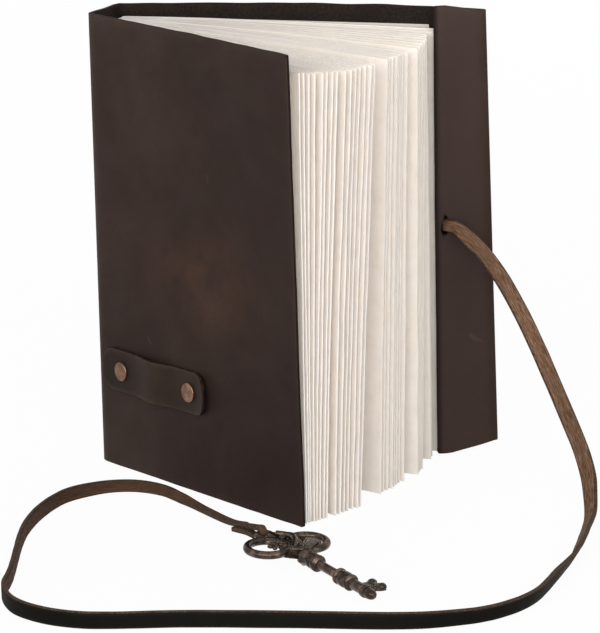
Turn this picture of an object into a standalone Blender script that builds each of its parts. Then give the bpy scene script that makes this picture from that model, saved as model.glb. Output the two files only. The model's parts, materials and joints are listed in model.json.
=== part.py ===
"""A leather wrap journal standing half open, with a keeper strap, a thong and a skeleton key.

Metres, +Z up. The back cover stands along X with its outer face towards +Y, and the journal
opens towards -Y. Panels, leaves and folds hang on empties that stand on their hinge axes.
"""

import math

import bmesh
import bpy
from mathutils import Matrix, Vector

MM = 0.001
QUARTER_TURN = math.pi / 2
SIDES = ((-1, -1), (1, -1), (1, 1), (-1, 1))

# Cover: one hide, bent at three folds
COVER_HEIGHT = 0.188
LEATHER = 0.0018
FOLD_RADIUS = 0.0024
FOLD_CORE = 0.0017
SPINE_WIDTH = 0.0226
FRONT_WIDTH = 0.131
FLAP_WIDTH = 0.022
FLAP_GAP = 0.0026
CORNER_RADIUS = 0.004
CORNER_STEPS = 3
FOLD_FACETS = 8
RELIEF_SIDES = 32
FOLD_TRIM = 0.0033
TRIM_LENGTH = 0.045
CLEARANCE = 0.0003

# How far each panel is turned about +Z from the back cover's line
SPINE_TURN = math.radians(-110.1)
FRONT_TURN = math.radians(-46.3)
FLAP_TURN = math.radians(-155.0)

# Text block: each bundle is half a sewn signature
PAGE_WIDTH = 0.1265
PAGE_HEIGHT = 0.178
PAGE_SAG = 0.0044
BUNDLE_THICKNESS = 0.001
BUNDLE_ROOT = 0.00012
ROOT_GAP = 0.0003
ROOT_LENGTH = 0.016
FOLD_INSET = 0.0012
FOLD_ROUNDING = 0.0005
ENDPAPER = 0.0003
LINING = 0.0003
LINING_MARGIN = 0.006
STITCHES = 5
STITCH_MARGIN = 0.022
THREAD = 0.0005
THREAD_SIDES = 6
THREAD_INSET = 0.0008

# The back cover reaches past the pages by the turned-in flap and a gap
BACK_WIDTH = PAGE_WIDTH - FLAP_WIDTH * math.cos(FLAP_TURN) + FLAP_GAP

# Groups the bundles stand in: first turn from the back cover's line, step, both in degrees, and count
FAN_GROUPS = (
    (-44.4, 1.2, 2),
    (-41.6, 1.6, 2),
    (-37.8, 2.2, 4),
    (-27.6, 2.85, 3),
    (-16.6, 3.2, 3),
    (-5.8, 2.6, 2),
)

# Keeper strap and its two rivets
STRAP_START = 0.0035
STRAP_LENGTH = 0.0705
STRAP_HEIGHT = 0.0175
STRAP_CENTRE = 0.042
STRAP_THICKNESS = 0.0018
STRAP_CORNER = 0.0075
STRAP_ARCH = 0.0024
STRAP_COLUMNS = 28
RIVET_MARGIN = 0.0135
RIVET_END_MARGIN = 0.0115
RIVET_CAP = 0.008
RIVET_RIM = 0.0006
RIVET_DOME = 0.0015
RIVET_CROWN = 0.0036
RIVET_SWELL = 0.0002
RIVET_POST = 0.003
RIVET_SIDES = 20
TAB_LENGTH = 0.02
BACK_CAP_DEPTH = 0.001

# Thong: a flat strip that stands on edge where it lies
THONG_WIDTH = 0.0064
THONG_THICKNESS = 0.0018
SLIT_FROM_EDGE = 0.0032
SLIT_HEIGHT = 0.097
SLIT_CLEARANCE = 0.0004
KNOT_SIZE = (0.0052, 0.004, 0.009)
KNOT_SHIFT = 0.001
KNOT_SEGMENTS = (12, 8)
END_WIDTH = 0.0026
END_THICKNESS = 0.0012
TAPER_LENGTH = 0.15
FLOOR_GAP = 0.0003
BEND_DRIFT = 0.0022
BEND_RISE = 0.004
BEND_LENGTH = 0.012
BEND_STEP = 0.0015
HANG_STEP = 0.007
LIE_STEP = 0.014
END_STEP = 0.0024
CURVE_SAMPLES = 24

# How far the strip leans from upright, in degrees, at distances from the slit
LEAN_STOPS = (
    (0.0, 0.0),
    (0.06, 0.0),
    (0.11, 10.0),
    (0.14, 30.0),
    (0.152, 42.0),
    (0.19, 36.0),
    (0.217, 31.0),
    (0.244, 16.0),
    (0.292, 16.0),
    (0.33, 0.0),
)

# Route of the thong in millimetres from the rear corner of the spine
HANGING_ROUTE = (
    (140.3, -17.0, 94.6),
    (148.2, -22.0, 87.9),
    (155.9, -29.0, 79.1),
    (163.8, -38.0, 67.4),
    (170.7, -47.0, 55.4),
    (177.3, -56.0, 42.6),
    (183.5, -66.0, 30.7),
    (189.2, -77.0, 19.8),
    (192.3, -88.0, 12.2),
    (193.3, -98.0, 7.0),
)
LYING_ROUTE = (
    (193.6, -112.2),
    (192.0, -133.7),
    (188.7, -163.4),
    (182.5, -189.6),
    (175.1, -216.0),
    (162.4, -233.2),
    (145.8, -241.7),
    (126.0, -245.1),
    (87.0, -244.3),
    (50.0, -244.4),
    (12.2, -246.5),
    (-10.9, -234.8),
    (-21.2, -215.1),
    (-22.6, -188.9),
    (-25.9, -132.0),
    (-19.1, -92.5),
    (-6.0, -75.8),
    (8.0, -71.4),
    (20.4, -76.5),
    (29.5, -87.0),
    (42.0, -104.5),
)
RISING_ROUTE = ((54.0, -128.0, 6.5), (61.0, -139.4, 8.95))

# Route of the thong's doubled end in millimetres from the centre of the key's eye
END_ROUTE = ((-13.7, 0.6, -1.9), (-9.8, 0.2, 0.6))
TAIL_ROUTE = ((-8.5, -1.2, -3.0), (-12.0, -2.6, -3.6), (-16.0, -3.6, -4.2))

# Skeleton key: distances are measured from the centre of its eye towards its tip
KEY_PLACE = (0.0693, -0.1514, 0.0081)
KEY_TURN = math.radians(-52.8)
KEY_TILT = math.radians(4.1)
KEY_LENGTH = 0.0785
EYE_RADIUS = 0.0042
EYE_WIRE = 0.0013
LOOP_RADIUS = 0.0078
LOOP_WIRE = 0.0015
LOOP_PLACE = (0.0172, 0.0087)
SWIRL_RADIUS = 0.0036
SWIRL_WAIST = 0.0023
SWIRL_LENGTH = 0.004
LEAF_SIZE = (0.0054, 0.0043, 0.0022)
SHOULDER_RADIUS = 0.0043
SHOULDER_LENGTH = 0.0095
COLLAR_RADIUS = 0.0033
COLLAR_LENGTH = 0.0028
SHANK_RADIUS = 0.0016
TURNED_STEP = 0.0006
KNUCKLE_PLACE = 0.0585
KNUCKLE_RADIUS = 0.0032
KNUCKLE_LENGTH = 0.0095
KNUCKLE_BAND = 0.0015
TIP_RING_RADIUS = 0.0026
TIP_RING_PLACE = 0.0722
TIP_RING_LENGTH = 0.002
TIP_CROWN = 0.0009
BIT_PLACE = 0.069
BIT_REACH = 0.007
BIT_LENGTH = 0.0055
BIT_THICKNESS = 0.0024
BIT_LOBE = 0.0021
WIRE_SEGMENTS = (24, 8)
KEY_SIDES = 14
WRAP_STEP = 30

for old in list(bpy.data.objects):
    bpy.data.objects.remove(old, do_unlink=True)


def linear(value):
    """One channel from 0 to 255 as the eye sees it, as linear light."""
    share = value / 255
    return share / 12.92 if share <= 0.04045 else ((share + 0.055) / 1.055) ** 2.4


def material(name, colour, roughness, metallic=0.0):
    """A Principled material of that colour."""
    made = bpy.data.materials.new(name)
    made.use_nodes = True
    shader = made.node_tree.nodes["Principled BSDF"]
    shader.inputs["Base Color"].default_value = (*(linear(c) for c in colour), 1.0)
    shader.inputs["Roughness"].default_value = roughness
    shader.inputs["Metallic"].default_value = metallic
    return made


HIDE = material("dark_hide", (58, 46, 43), 0.55)
THONG_HIDE = material("thong_hide", (96, 70, 54), 0.7)
PAPER = material("cream_paper", (238, 228, 216), 0.9)
CLOTH = material("lining_cloth", (205, 195, 178), 0.95)
LINEN = material("waxed_linen", (190, 176, 150), 0.7)
COPPER = material("aged_copper", (150, 118, 100), 0.4, 0.9)
BRONZE = material("antique_bronze", (92, 74, 62), 0.38, 0.9)


def axis_empty(name, parent, place, turn):
    """An empty that stands on a hinge axis."""
    empty = bpy.data.objects.new(name, None)
    bpy.context.collection.objects.link(empty)
    empty.parent = parent
    empty.location = place
    empty.rotation_euler = (0.0, 0.0, turn)
    return empty


def finish_mesh(name, mesh_builder, parent, finish, smooth=False):
    """Turn a bmesh into a named object with its faces pointing out."""
    bmesh.ops.recalc_face_normals(mesh_builder, faces=mesh_builder.faces)
    mesh = bpy.data.meshes.new(name)
    mesh_builder.to_mesh(mesh)
    mesh_builder.free()
    mesh.materials.append(finish)
    if smooth:
        mesh.shade_smooth()
        mesh.set_sharp_from_angle(angle=math.radians(35))
    made = bpy.data.objects.new(name, mesh)
    bpy.context.collection.objects.link(made)
    made.parent = parent
    return made


def slab(name, outline, near, far, parent, finish):
    """A sheet cut to an outline of (x, z) points, from y = near to y = far."""
    builder = bmesh.new()
    rings = [[builder.verts.new((x, y, z)) for x, z in outline] for y in (near, far)]
    bridge(builder, rings)
    return finish_mesh(name, builder, parent, finish)


def bridge(builder, rings):
    """Close a stack of equal rings into one body with flat ends."""
    for below, above in zip(rings, rings[1:]):
        count = len(below)
        for i in range(count):
            j = (i + 1) % count
            builder.faces.new((below[i], below[j], above[j], above[i]))
    builder.faces.new(rings[0])
    builder.faces.new(list(reversed(rings[-1])))


def post(name, outline, low, high, parent, finish):
    """An upright body of an outline of (x, y) points."""
    builder = bmesh.new()
    bridge(builder, [[builder.verts.new((x, y, z)) for x, y in outline] for z in (low, high)])
    return finish_mesh(name, builder, parent, finish)


def turned(name, profile, parent, finish, sides):
    """A body turned about Z from (radius, height) points, open on the axis at neither end."""
    builder = bmesh.new()
    rings = []
    for radius, height in profile:
        angles = [2 * math.pi * i / sides for i in range(sides)]
        places = [(radius * math.cos(a), radius * math.sin(a), height) for a in angles]
        rings.append([builder.verts.new(place) for place in places])
    bridge(builder, rings)
    return finish_mesh(name, builder, parent, finish, smooth=True)


def cut(target, cutter):
    """Cut one body out of another, and keep the cutter as a hidden guide."""
    cutter.hide_render = True
    cutter.display_type = "WIRE"
    modifier = target.modifiers.new("cut_" + cutter.name, "BOOLEAN")
    modifier.operation = "DIFFERENCE"
    modifier.solver = "EXACT"
    modifier.object = cutter


def corner(centre_x, centre_z, radius, start):
    """A quarter round of an outline, from the angle start."""
    angles = [start + QUARTER_TURN * i / CORNER_STEPS for i in range(CORNER_STEPS + 1)]
    return [(centre_x + radius * math.cos(a), centre_z + radius * math.sin(a)) for a in angles]


def panel_outline(start, end, low, high):
    """A panel from a fold at start to a cut edge at end, with two rounded corners."""
    inner = end - CORNER_RADIUS
    below = corner(inner, low + CORNER_RADIUS, CORNER_RADIUS, -QUARTER_TURN)
    above = corner(inner, high - CORNER_RADIUS, CORNER_RADIUS, 0.0)
    return [(start, low), *below, *above, (start, high)]


def smooth_points(route, step, tight_length=0.0, tight_step=1.0):
    """Points a steady step apart on a smooth curve through the route, closer in a tight first bend."""
    ends = [2 * route[0] - route[1], *route, 2 * route[-1] - route[-2]]
    fine = []
    for a, b, c, d in zip(ends, ends[1:], ends[2:], ends[3:]):
        for i in range(CURVE_SAMPLES):
            t = i / CURVE_SAMPLES
            bend = (2 * a - 5 * b + 4 * c - d) * t * t + (3 * b - 3 * c + d - a) * t * t * t
            fine.append(b + 0.5 * ((c - a) * t + bend))
    fine.append(route[-1])
    lengths = [0.0]
    for p, q in zip(fine, fine[1:]):
        lengths.append(lengths[-1] + (q - p).length)
    tight = round(tight_length / tight_step)
    count = max(2, round((lengths[-1] - tight_length) / step))
    places = [tight_length * i / tight for i in range(tight)]
    places += [tight_length + (lengths[-1] - tight_length) * i / count for i in range(count + 1)]
    found = []
    index = 0
    for want in places:
        while index < len(fine) - 2 and lengths[index + 1] < want:
            index += 1
        share = (want - lengths[index]) / (lengths[index + 1] - lengths[index])
        found.append(fine[index].lerp(fine[index + 1], share))
    return found, lengths[-1]


def distances(points):
    """How far along the points each of them is."""
    found = [0.0]
    for p, q in zip(points, points[1:]):
        found.append(found[-1] + (q - p).length)
    return found


def lean_at(distance):
    """How far the thong leans from upright at a distance from the slit."""
    for (start, first), (end, last) in zip(LEAN_STOPS, LEAN_STOPS[1:]):
        if distance <= end:
            return math.radians(first + (last - first) * (distance - start) / (end - start))
    return math.radians(LEAN_STOPS[-1][1])


def strip(name, points, widths, thickness, parent, finish, wide_axis, leans):
    """A flat strip along the points; before it leans, its width lies as near to wide_axis as the route allows."""
    builder = bmesh.new()
    rings = []
    for i, point in enumerate(points):
        along = (points[min(i + 1, len(points) - 1)] - points[max(i - 1, 0)]).normalized()
        wide = (wide_axis - wide_axis.dot(along) * along).normalized()
        thin = along.cross(wide)
        lean = leans[i]
        wide, thin = math.cos(lean) * wide - math.sin(lean) * thin, math.cos(lean) * thin + math.sin(lean) * wide
        half = widths[i] / 2
        corners = [point + a * half * wide + b * thickness / 2 * thin for a, b in SIDES]
        rings.append([builder.verts.new(place) for place in corners])
    bridge(builder, rings)
    return finish_mesh(name, builder, parent, finish)


# Hinge axes. The journal's own frame has its origin under the middle of its box.
rear_place = Vector((0.0, -FOLD_RADIUS, 0.0))
spine_along = Vector((math.cos(SPINE_TURN), math.sin(SPINE_TURN), 0.0))
front_along = Vector((math.cos(FRONT_TURN), math.sin(FRONT_TURN), 0.0))
front_place = rear_place + SPINE_WIDTH * spine_along
spine_outward = Vector((spine_along.y, -spine_along.x, 0.0))
front_outward = Vector((front_along.y, -front_along.x, 0.0))
spine_corner = front_place - CLEARANCE * spine_along + FOLD_RADIUS * spine_outward
front_corner = front_place + FRONT_WIDTH * front_along + FOLD_RADIUS * front_outward
box_right = BACK_WIDTH + FOLD_CORE
frame_shift = Vector((-(spine_corner.x + box_right) / 2, -front_corner.y / 2, 0.0))

journal = axis_empty("journal", None, frame_shift, 0.0)
back_axis = axis_empty("back_axis", journal, rear_place, 0.0)
spine_axis = axis_empty("spine_axis", journal, rear_place, SPINE_TURN)
front_axis = axis_empty("front_axis", spine_axis, (SPINE_WIDTH, 0.0, 0.0), FRONT_TURN - SPINE_TURN)
flap_axis = axis_empty("flap_axis", journal, (BACK_WIDTH, -FOLD_RADIUS, 0.0), FLAP_TURN)

setback = FOLD_RADIUS + CLEARANCE
inner_face = FOLD_RADIUS - LEATHER
page_low = (COVER_HEIGHT - PAGE_HEIGHT) / 2
page_high = page_low + PAGE_HEIGHT
bundle_turns = [start + step * i for start, step, count in FAN_GROUPS for i in range(count)]
bundle_pitch = SPINE_WIDTH / len(bundle_turns)


def make_covers():
    """Four panels and the rounded leather of the three folds between them."""
    low_trim = FOLD_TRIM
    high_trim = COVER_HEIGHT - FOLD_TRIM
    back_end = BACK_WIDTH - CLEARANCE
    trim_start = BACK_WIDTH - TRIM_LENGTH
    back_outline = [(CLEARANCE, 0.0), (trim_start, 0.0), (back_end, low_trim)]
    back_outline += [(back_end, high_trim), (trim_start, COVER_HEIGHT), (CLEARANCE, COVER_HEIGHT)]
    slab("back_cover", back_outline, inner_face, FOLD_RADIUS, back_axis, HIDE)

    spine_end = SPINE_WIDTH - CLEARANCE
    spine_outline = [(CLEARANCE, 0.0), (spine_end, 0.0), (spine_end, COVER_HEIGHT), (CLEARANCE, COVER_HEIGHT)]
    spine = slab("spine_panel", spine_outline, -FOLD_RADIUS, -inner_face, spine_axis, HIDE)

    front_outline = panel_outline(CLEARANCE, FRONT_WIDTH, 0.0, COVER_HEIGHT)
    front = slab("front_cover", front_outline, -FOLD_RADIUS, -inner_face, front_axis, HIDE)

    flap_outline = panel_outline(CLEARANCE, FLAP_WIDTH, 0.0, COVER_HEIGHT)
    flap_outline[0] = (CLEARANCE, low_trim)
    flap_outline[-1] = (CLEARANCE, high_trim)
    flap = slab("flap", flap_outline, inner_face, FOLD_RADIUS, flap_axis, HIDE)

    relief_profile = ((FOLD_CORE + CLEARANCE, -LEATHER), (FOLD_CORE + CLEARANCE, COVER_HEIGHT + LEATHER))
    for panel, axis in ((spine, spine_axis), (front, front_axis), (flap, flap_axis)):
        cut(panel, turned(panel.name + "_relief", relief_profile, axis, HIDE, RELIEF_SIDES))

    rear_fold = fold_outline(SPINE_TURN - QUARTER_TURN, QUARTER_TURN - 2 * math.pi)
    post("rear_fold", rear_fold, 0.0, COVER_HEIGHT, back_axis, HIDE)
    front_fold = fold_outline(-QUARTER_TURN, FRONT_TURN - SPINE_TURN - QUARTER_TURN)
    post("front_fold", front_fold, 0.0, COVER_HEIGHT, spine_axis, HIDE).location.x = SPINE_WIDTH
    flap_fold = fold_outline(QUARTER_TURN, FLAP_TURN + QUARTER_TURN)
    post("flap_fold", flap_fold, low_trim, high_trim, back_axis, HIDE).location.x = BACK_WIDTH
    return front, flap


def fold_outline(start, end):
    """The bent leather of a fold, seen from above, between two outward directions."""
    turns = [start + (end - start) * i / FOLD_FACETS for i in range(FOLD_FACETS + 1)]
    outer = [(FOLD_CORE * math.cos(a), FOLD_CORE * math.sin(a)) for a in turns]
    inner = [(inner_face * math.cos(a), inner_face * math.sin(a)) for a in reversed(turns)]
    return outer + inner


def make_endpapers():
    """The sheets pasted inside both covers, and the lining and stitches inside the spine."""
    outline = [(setback, page_low), (PAGE_WIDTH, page_low), (PAGE_WIDTH, page_high), (setback, page_high)]
    outline = [(x, z - PAGE_SAG * x / PAGE_WIDTH) for x, z in outline]
    paste = inner_face - CLEARANCE
    slab("back_endpaper", outline, paste - ENDPAPER, paste, back_axis, PAPER)
    slab("front_endpaper", outline, -paste, -paste + ENDPAPER, front_axis, PAPER)

    ends = (setback, SPINE_WIDTH - setback)
    low = page_low + LINING_MARGIN
    high = page_high - LINING_MARGIN
    lining = [(ends[0], low), (ends[1], low), (ends[1], high), (ends[0], high)]
    slab("spine_lining", lining, -paste, -paste + LINING, spine_axis, CLOTH)

    spread = PAGE_HEIGHT - 2 * STITCH_MARGIN
    thread = [(THREAD / 2, bundle_pitch / 2), (THREAD / 2, SPINE_WIDTH - bundle_pitch / 2)]
    for i in range(STITCHES):
        stitch = turned(f"stitch_{i + 1}", thread, spine_axis, LINEN, THREAD_SIDES)
        stitch.rotation_euler = (0.0, QUARTER_TURN, 0.0)
        stitch.location = (0.0, THREAD_INSET, page_low + STITCH_MARGIN + spread * i / (STITCHES - 1))


def make_bundles():
    """Half signatures, each hinged at its sewn fold, standing fanned in groups."""
    section = ((ROOT_GAP, BUNDLE_ROOT), (ROOT_LENGTH, BUNDLE_THICKNESS), (PAGE_WIDTH, BUNDLE_THICKNESS))
    middle = (len(bundle_turns) - 1) / 2
    for i, turn in enumerate(bundle_turns):
        rounding = FOLD_ROUNDING * (1 - ((i - middle) / middle) ** 2)
        place = (SPINE_WIDTH - bundle_pitch * (i + 0.5), FOLD_INSET + rounding, 0.0)
        hinge = axis_empty(f"leaves_axis_{i + 1:02d}", spine_axis, place, math.radians(turn) - SPINE_TURN)
        outline = [(x, -t / 2) for x, t in section] + [(x, t / 2) for x, t in reversed(section)]
        builder = bmesh.new()
        rings = []
        for level in (page_low, page_high):
            rings.append([builder.verts.new((x, y, level - PAGE_SAG * x / PAGE_WIDTH)) for x, y in outline])
        bridge(builder, rings)
        finish_mesh(f"leaves_{i + 1:02d}", builder, hinge, PAPER)


def strap_offset(x):
    """How far the strap's inner face stands off the cover, x along it from its first end."""
    run = STRAP_LENGTH - 2 * TAB_LENGTH
    share = min(max((x - TAB_LENGTH) / run, 0.0), 1.0)
    return CLEARANCE + STRAP_ARCH * math.sin(math.pi * share) ** 2


def make_strap(front):
    """The keeper strap with its rounded ends, and two rivets through strap and cover."""
    builder = bmesh.new()
    rings = []
    for i in range(STRAP_COLUMNS + 1):
        x = STRAP_LENGTH * (1 - math.cos(math.pi * i / STRAP_COLUMNS)) / 2
        inside = max(STRAP_CORNER - min(x, STRAP_LENGTH - x), 0.0)
        half = STRAP_HEIGHT / 2 - STRAP_CORNER + math.sqrt(STRAP_CORNER**2 - inside**2)
        near = -FOLD_RADIUS - strap_offset(x)
        far = near - STRAP_THICKNESS
        corners = ((near, -half), (near, half), (far, half), (far, -half))
        rings.append([builder.verts.new((STRAP_START + x, y, STRAP_CENTRE + z)) for y, z in corners])
    bridge(builder, rings)
    strap = finish_mesh("keeper_strap", builder, front_axis, HIDE)

    seat = FOLD_RADIUS + CLEARANCE + STRAP_THICKNESS + CLEARANCE
    rim = seat + RIVET_RIM
    crown = seat + RIVET_DOME
    shaft = RIVET_POST / 2
    hole = shaft + CLEARANCE
    cap = RIVET_CAP / 2
    cap_recess = inner_face + BACK_CAP_DEPTH
    crown_radius = RIVET_CROWN / 2
    flank = ((cap + crown_radius) / 2, (rim + crown) / 2 + RIVET_SWELL)
    dome = ((cap, seat), (cap, rim), flank, (crown_radius, crown))
    profiles = {
        "rivet": ((shaft, inner_face + CLEARANCE), (shaft, seat), *dome),
        "rivet_back": ((cap, inner_face), (cap, cap_recess - CLEARANCE)),
        "rivet_drill": ((hole, 0.0), (hole, seat)),
        "cap_recess": ((cap + CLEARANCE, 0.0), (cap + CLEARANCE, cap_recess)),
    }
    for i, x in enumerate((STRAP_START + RIVET_MARGIN, STRAP_START + STRAP_LENGTH - RIVET_END_MARGIN)):
        made = {}
        for name, profile in profiles.items():
            made[name] = turned(f"{name}_{i + 1}", profile, front_axis, COPPER, RIVET_SIDES)
            made[name].rotation_euler = (QUARTER_TURN, 0.0, 0.0)
            made[name].location = (x, 0.0, STRAP_CENTRE)
        cut(strap, made["rivet_drill"])
        cut(front, made["rivet_drill"])
        cut(front, made["cap_recess"])
        cut(made["rivet_back"], made["rivet_drill"])


def make_thong(flap):
    """The knot behind the flap's slit, the hanging stretch, the lying loop and the doubled end."""
    slit_x = FLAP_WIDTH - SLIT_FROM_EDGE
    slit_half = (THONG_THICKNESS / 2 + SLIT_CLEARANCE, THONG_WIDTH / 2 + SLIT_CLEARANCE)
    slit_outline = [(slit_x + a * slit_half[0], SLIT_HEIGHT + b * slit_half[1]) for a, b in SIDES]
    slit = slab("thong_slit", slit_outline, 0.0, 2 * FOLD_RADIUS, flap_axis, HIDE)
    cut(flap, slit)

    knot_place = (slit_x - KNOT_SHIFT, inner_face - CLEARANCE - KNOT_SIZE[1] / 2, SLIT_HEIGHT)
    builder = bmesh.new()
    scale = Matrix.Diagonal((*KNOT_SIZE, 1.0))
    around, across = KNOT_SEGMENTS
    bmesh.ops.create_uvsphere(builder, u_segments=around, v_segments=across, radius=0.5, matrix=scale)
    knot = finish_mesh("thong_knot", builder, flap_axis, THONG_HIDE, smooth=True)
    knot.location = knot_place

    flap_turn = Matrix.Translation((BACK_WIDTH, -FOLD_RADIUS, 0.0)) @ Matrix.Rotation(FLAP_TURN, 4, "Z")
    through = (
        (slit_x, inner_face),
        (slit_x, FOLD_RADIUS),
        (slit_x - CLEARANCE, FOLD_RADIUS + THONG_THICKNESS),
        (slit_x - BEND_DRIFT, FOLD_RADIUS + BEND_RISE),
    )
    leaving = [flap_turn @ Vector((x, y, SLIT_HEIGHT)) for x, y in through]
    hanging = [*leaving, *(Vector(p) * MM for p in HANGING_ROUTE)]
    resting = THONG_WIDTH / 2 + FLOOR_GAP
    lying = [Vector((x * MM, y * MM, resting)) for x, y in LYING_ROUTE]
    rising = [Vector(p) * MM for p in RISING_ROUTE]
    landing = hanging[-1].lerp(lying[0], 0.5)
    along = (lying[0] - hanging[-1]).normalized() * CLEARANCE
    up = Vector((0.0, 0.0, 1.0))

    hang_points, hang_length = smooth_points([*hanging, landing - along], HANG_STEP, BEND_LENGTH, BEND_STEP)
    widths = [THONG_WIDTH] * len(hang_points)
    leans = [lean_at(run) for run in distances(hang_points)]
    strip("thong_hanging", hang_points, widths, THONG_THICKNESS, journal, THONG_HIDE, up, leans)

    lie_points, lie_length = smooth_points([landing + along, *lying, *rising], LIE_STEP)
    last = len(lie_points) - 1
    widths = []
    for i in range(last + 1):
        left = lie_length * (1 - i / last)
        widths.append(END_WIDTH + (THONG_WIDTH - END_WIDTH) * min(left / TAPER_LENGTH, 1.0))
        lie_points[i].z -= (THONG_WIDTH - widths[i]) / 2
    leans = [lean_at(hang_length + run) for run in distances(lie_points)]
    strip("thong_lying", lie_points, widths, THONG_THICKNESS, journal, THONG_HIDE, up, leans)
    print(f"thong: {hang_length + lie_length:.3f} m from the slit to the key")


def make_key():
    """The skeleton key on the thong's end: eye, two loops, turned shank and a two-lobed bit."""
    key_axis = axis_empty("key_axis", journal, KEY_PLACE, KEY_TURN)
    key_axis.rotation_euler.y = KEY_TILT

    def ring(name, place, radius, wire):
        around, across = WIRE_SEGMENTS
        bpy.ops.mesh.primitive_torus_add(
            major_segments=around, minor_segments=across, major_radius=radius, minor_radius=wire
        )
        piece = bpy.context.object
        piece.name = name
        piece.parent = key_axis
        piece.location = place
        return piece

    def ball(name, place, size):
        builder = bmesh.new()
        scale = Matrix.Diagonal((*size, 1.0))
        around, across = KNOT_SEGMENTS
        bmesh.ops.create_uvsphere(builder, u_segments=around, v_segments=across, radius=1.0, matrix=scale)
        piece = finish_mesh(name, builder, key_axis, BRONZE, smooth=True)
        piece.location = place
        return piece

    loop_x, loop_y = LOOP_PLACE
    shoulder = loop_x + LOOP_RADIUS
    shoulder_end = shoulder + SHOULDER_LENGTH
    collar = shoulder_end + COLLAR_LENGTH
    knuckle = KNUCKLE_PLACE - KNUCKLE_LENGTH / 2
    knuckle_end = KNUCKLE_PLACE + KNUCKLE_LENGTH / 2
    tip_ring = TIP_RING_PLACE - TIP_RING_LENGTH / 2
    tip_ring_end = TIP_RING_PLACE + TIP_RING_LENGTH / 2
    step = TURNED_STEP
    shaft_profile = (
        (SHANK_RADIUS, EYE_RADIUS),
        (SWIRL_RADIUS, EYE_RADIUS + SWIRL_LENGTH),
        (SWIRL_WAIST, loop_x - SWIRL_LENGTH),
        (SWIRL_RADIUS, loop_x),
        (SWIRL_WAIST, shoulder),
        (SHOULDER_RADIUS, (shoulder + shoulder_end) / 2),
        (SHOULDER_RADIUS - step, shoulder_end),
        (COLLAR_RADIUS - step, shoulder_end + step),
        (COLLAR_RADIUS, collar),
        (COLLAR_RADIUS, collar + COLLAR_LENGTH),
        (SHANK_RADIUS, collar + COLLAR_LENGTH + step),
        (SHANK_RADIUS, knuckle),
        (KNUCKLE_RADIUS - step, knuckle + step),
        (KNUCKLE_RADIUS - step, knuckle + KNUCKLE_BAND),
        (KNUCKLE_RADIUS, knuckle + KNUCKLE_BAND + step),
        (KNUCKLE_RADIUS, knuckle_end - KNUCKLE_BAND - step),
        (KNUCKLE_RADIUS - step, knuckle_end - KNUCKLE_BAND),
        (KNUCKLE_RADIUS - step, knuckle_end - step),
        (SHANK_RADIUS, knuckle_end),
        (SHANK_RADIUS, tip_ring - step),
        (TIP_RING_RADIUS, tip_ring),
        (TIP_RING_RADIUS, tip_ring_end),
        (TIP_RING_RADIUS - step, tip_ring_end + step),
        (TIP_RING_RADIUS - step, KEY_LENGTH - TIP_RING_RADIUS),
        (TIP_CROWN, KEY_LENGTH),
    )
    key = turned("key", shaft_profile, key_axis, BRONZE, KEY_SIDES)
    key.rotation_euler = (0.0, QUARTER_TURN, 0.0)

    builder = bmesh.new()
    bit_rings = []
    for side in (-1, 1):
        corners = [(BIT_PLACE + a * BIT_LENGTH / 2, (1 + b) * BIT_REACH / 2) for a, b in SIDES]
        bit_rings.append([builder.verts.new((x, y, side * BIT_THICKNESS / 2)) for x, y in corners])
    bridge(builder, bit_rings)
    lobe = (BIT_LOBE, BIT_LOBE, BIT_LOBE)
    pieces = [
        ring("key_eye", (0.0, 0.0, 0.0), EYE_RADIUS, EYE_WIRE),
        ring("key_loop_left", (loop_x, -loop_y, 0.0), LOOP_RADIUS, LOOP_WIRE),
        ring("key_loop_right", (loop_x, loop_y, 0.0), LOOP_RADIUS, LOOP_WIRE),
        ball("key_leaf", (shoulder - LOOP_WIRE, 0.0, 0.0), LEAF_SIZE),
        finish_mesh("key_bit", builder, key_axis, BRONZE),
        ball("key_lobe_1", (BIT_PLACE - BIT_LENGTH / 2, BIT_REACH, 0.0), lobe),
        ball("key_lobe_2", (BIT_PLACE + BIT_LENGTH / 2, BIT_REACH + BIT_LOBE / 2, 0.0), lobe),
    ]
    for piece in pieces:
        piece.hide_render = True
        piece.display_type = "WIRE"
        modifier = key.modifiers.new("join_" + piece.name, "BOOLEAN")
        modifier.operation = "UNION"
        modifier.solver = "EXACT"
        modifier.object = piece

    wrap = EYE_WIRE + 2 * CLEARANCE + END_THICKNESS / 2
    route = [Vector(p) * MM for p in END_ROUTE]
    for angle in range(90, -91, -WRAP_STEP):
        turn = math.radians(angle)
        route.append(Vector((wrap * math.cos(turn) - EYE_RADIUS, 0.0, wrap * math.sin(turn))))
    route += [Vector(p) * MM for p in TAIL_ROUTE]
    points, length = smooth_points(route, END_STEP)
    widths = [END_WIDTH] * len(points)
    level = Vector((0.0, 1.0, 0.0))
    strip("thong_end_loop", points, widths, END_THICKNESS, key_axis, THONG_HIDE, level, [0.0] * len(points))
    print(f"doubled end: {length:.3f} m")


front_panel, flap_panel = make_covers()
make_endpapers()
make_bundles()
make_strap(front_panel)
make_thong(flap_panel)
make_key()
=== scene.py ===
"""Visual model of a leather wrap journal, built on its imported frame."""

import json
import random
from math import asin, cos, degrees, exp, pi, radians, sin, sqrt

import bmesh
import bpy
from mathutils import Matrix, Vector, noise

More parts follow.
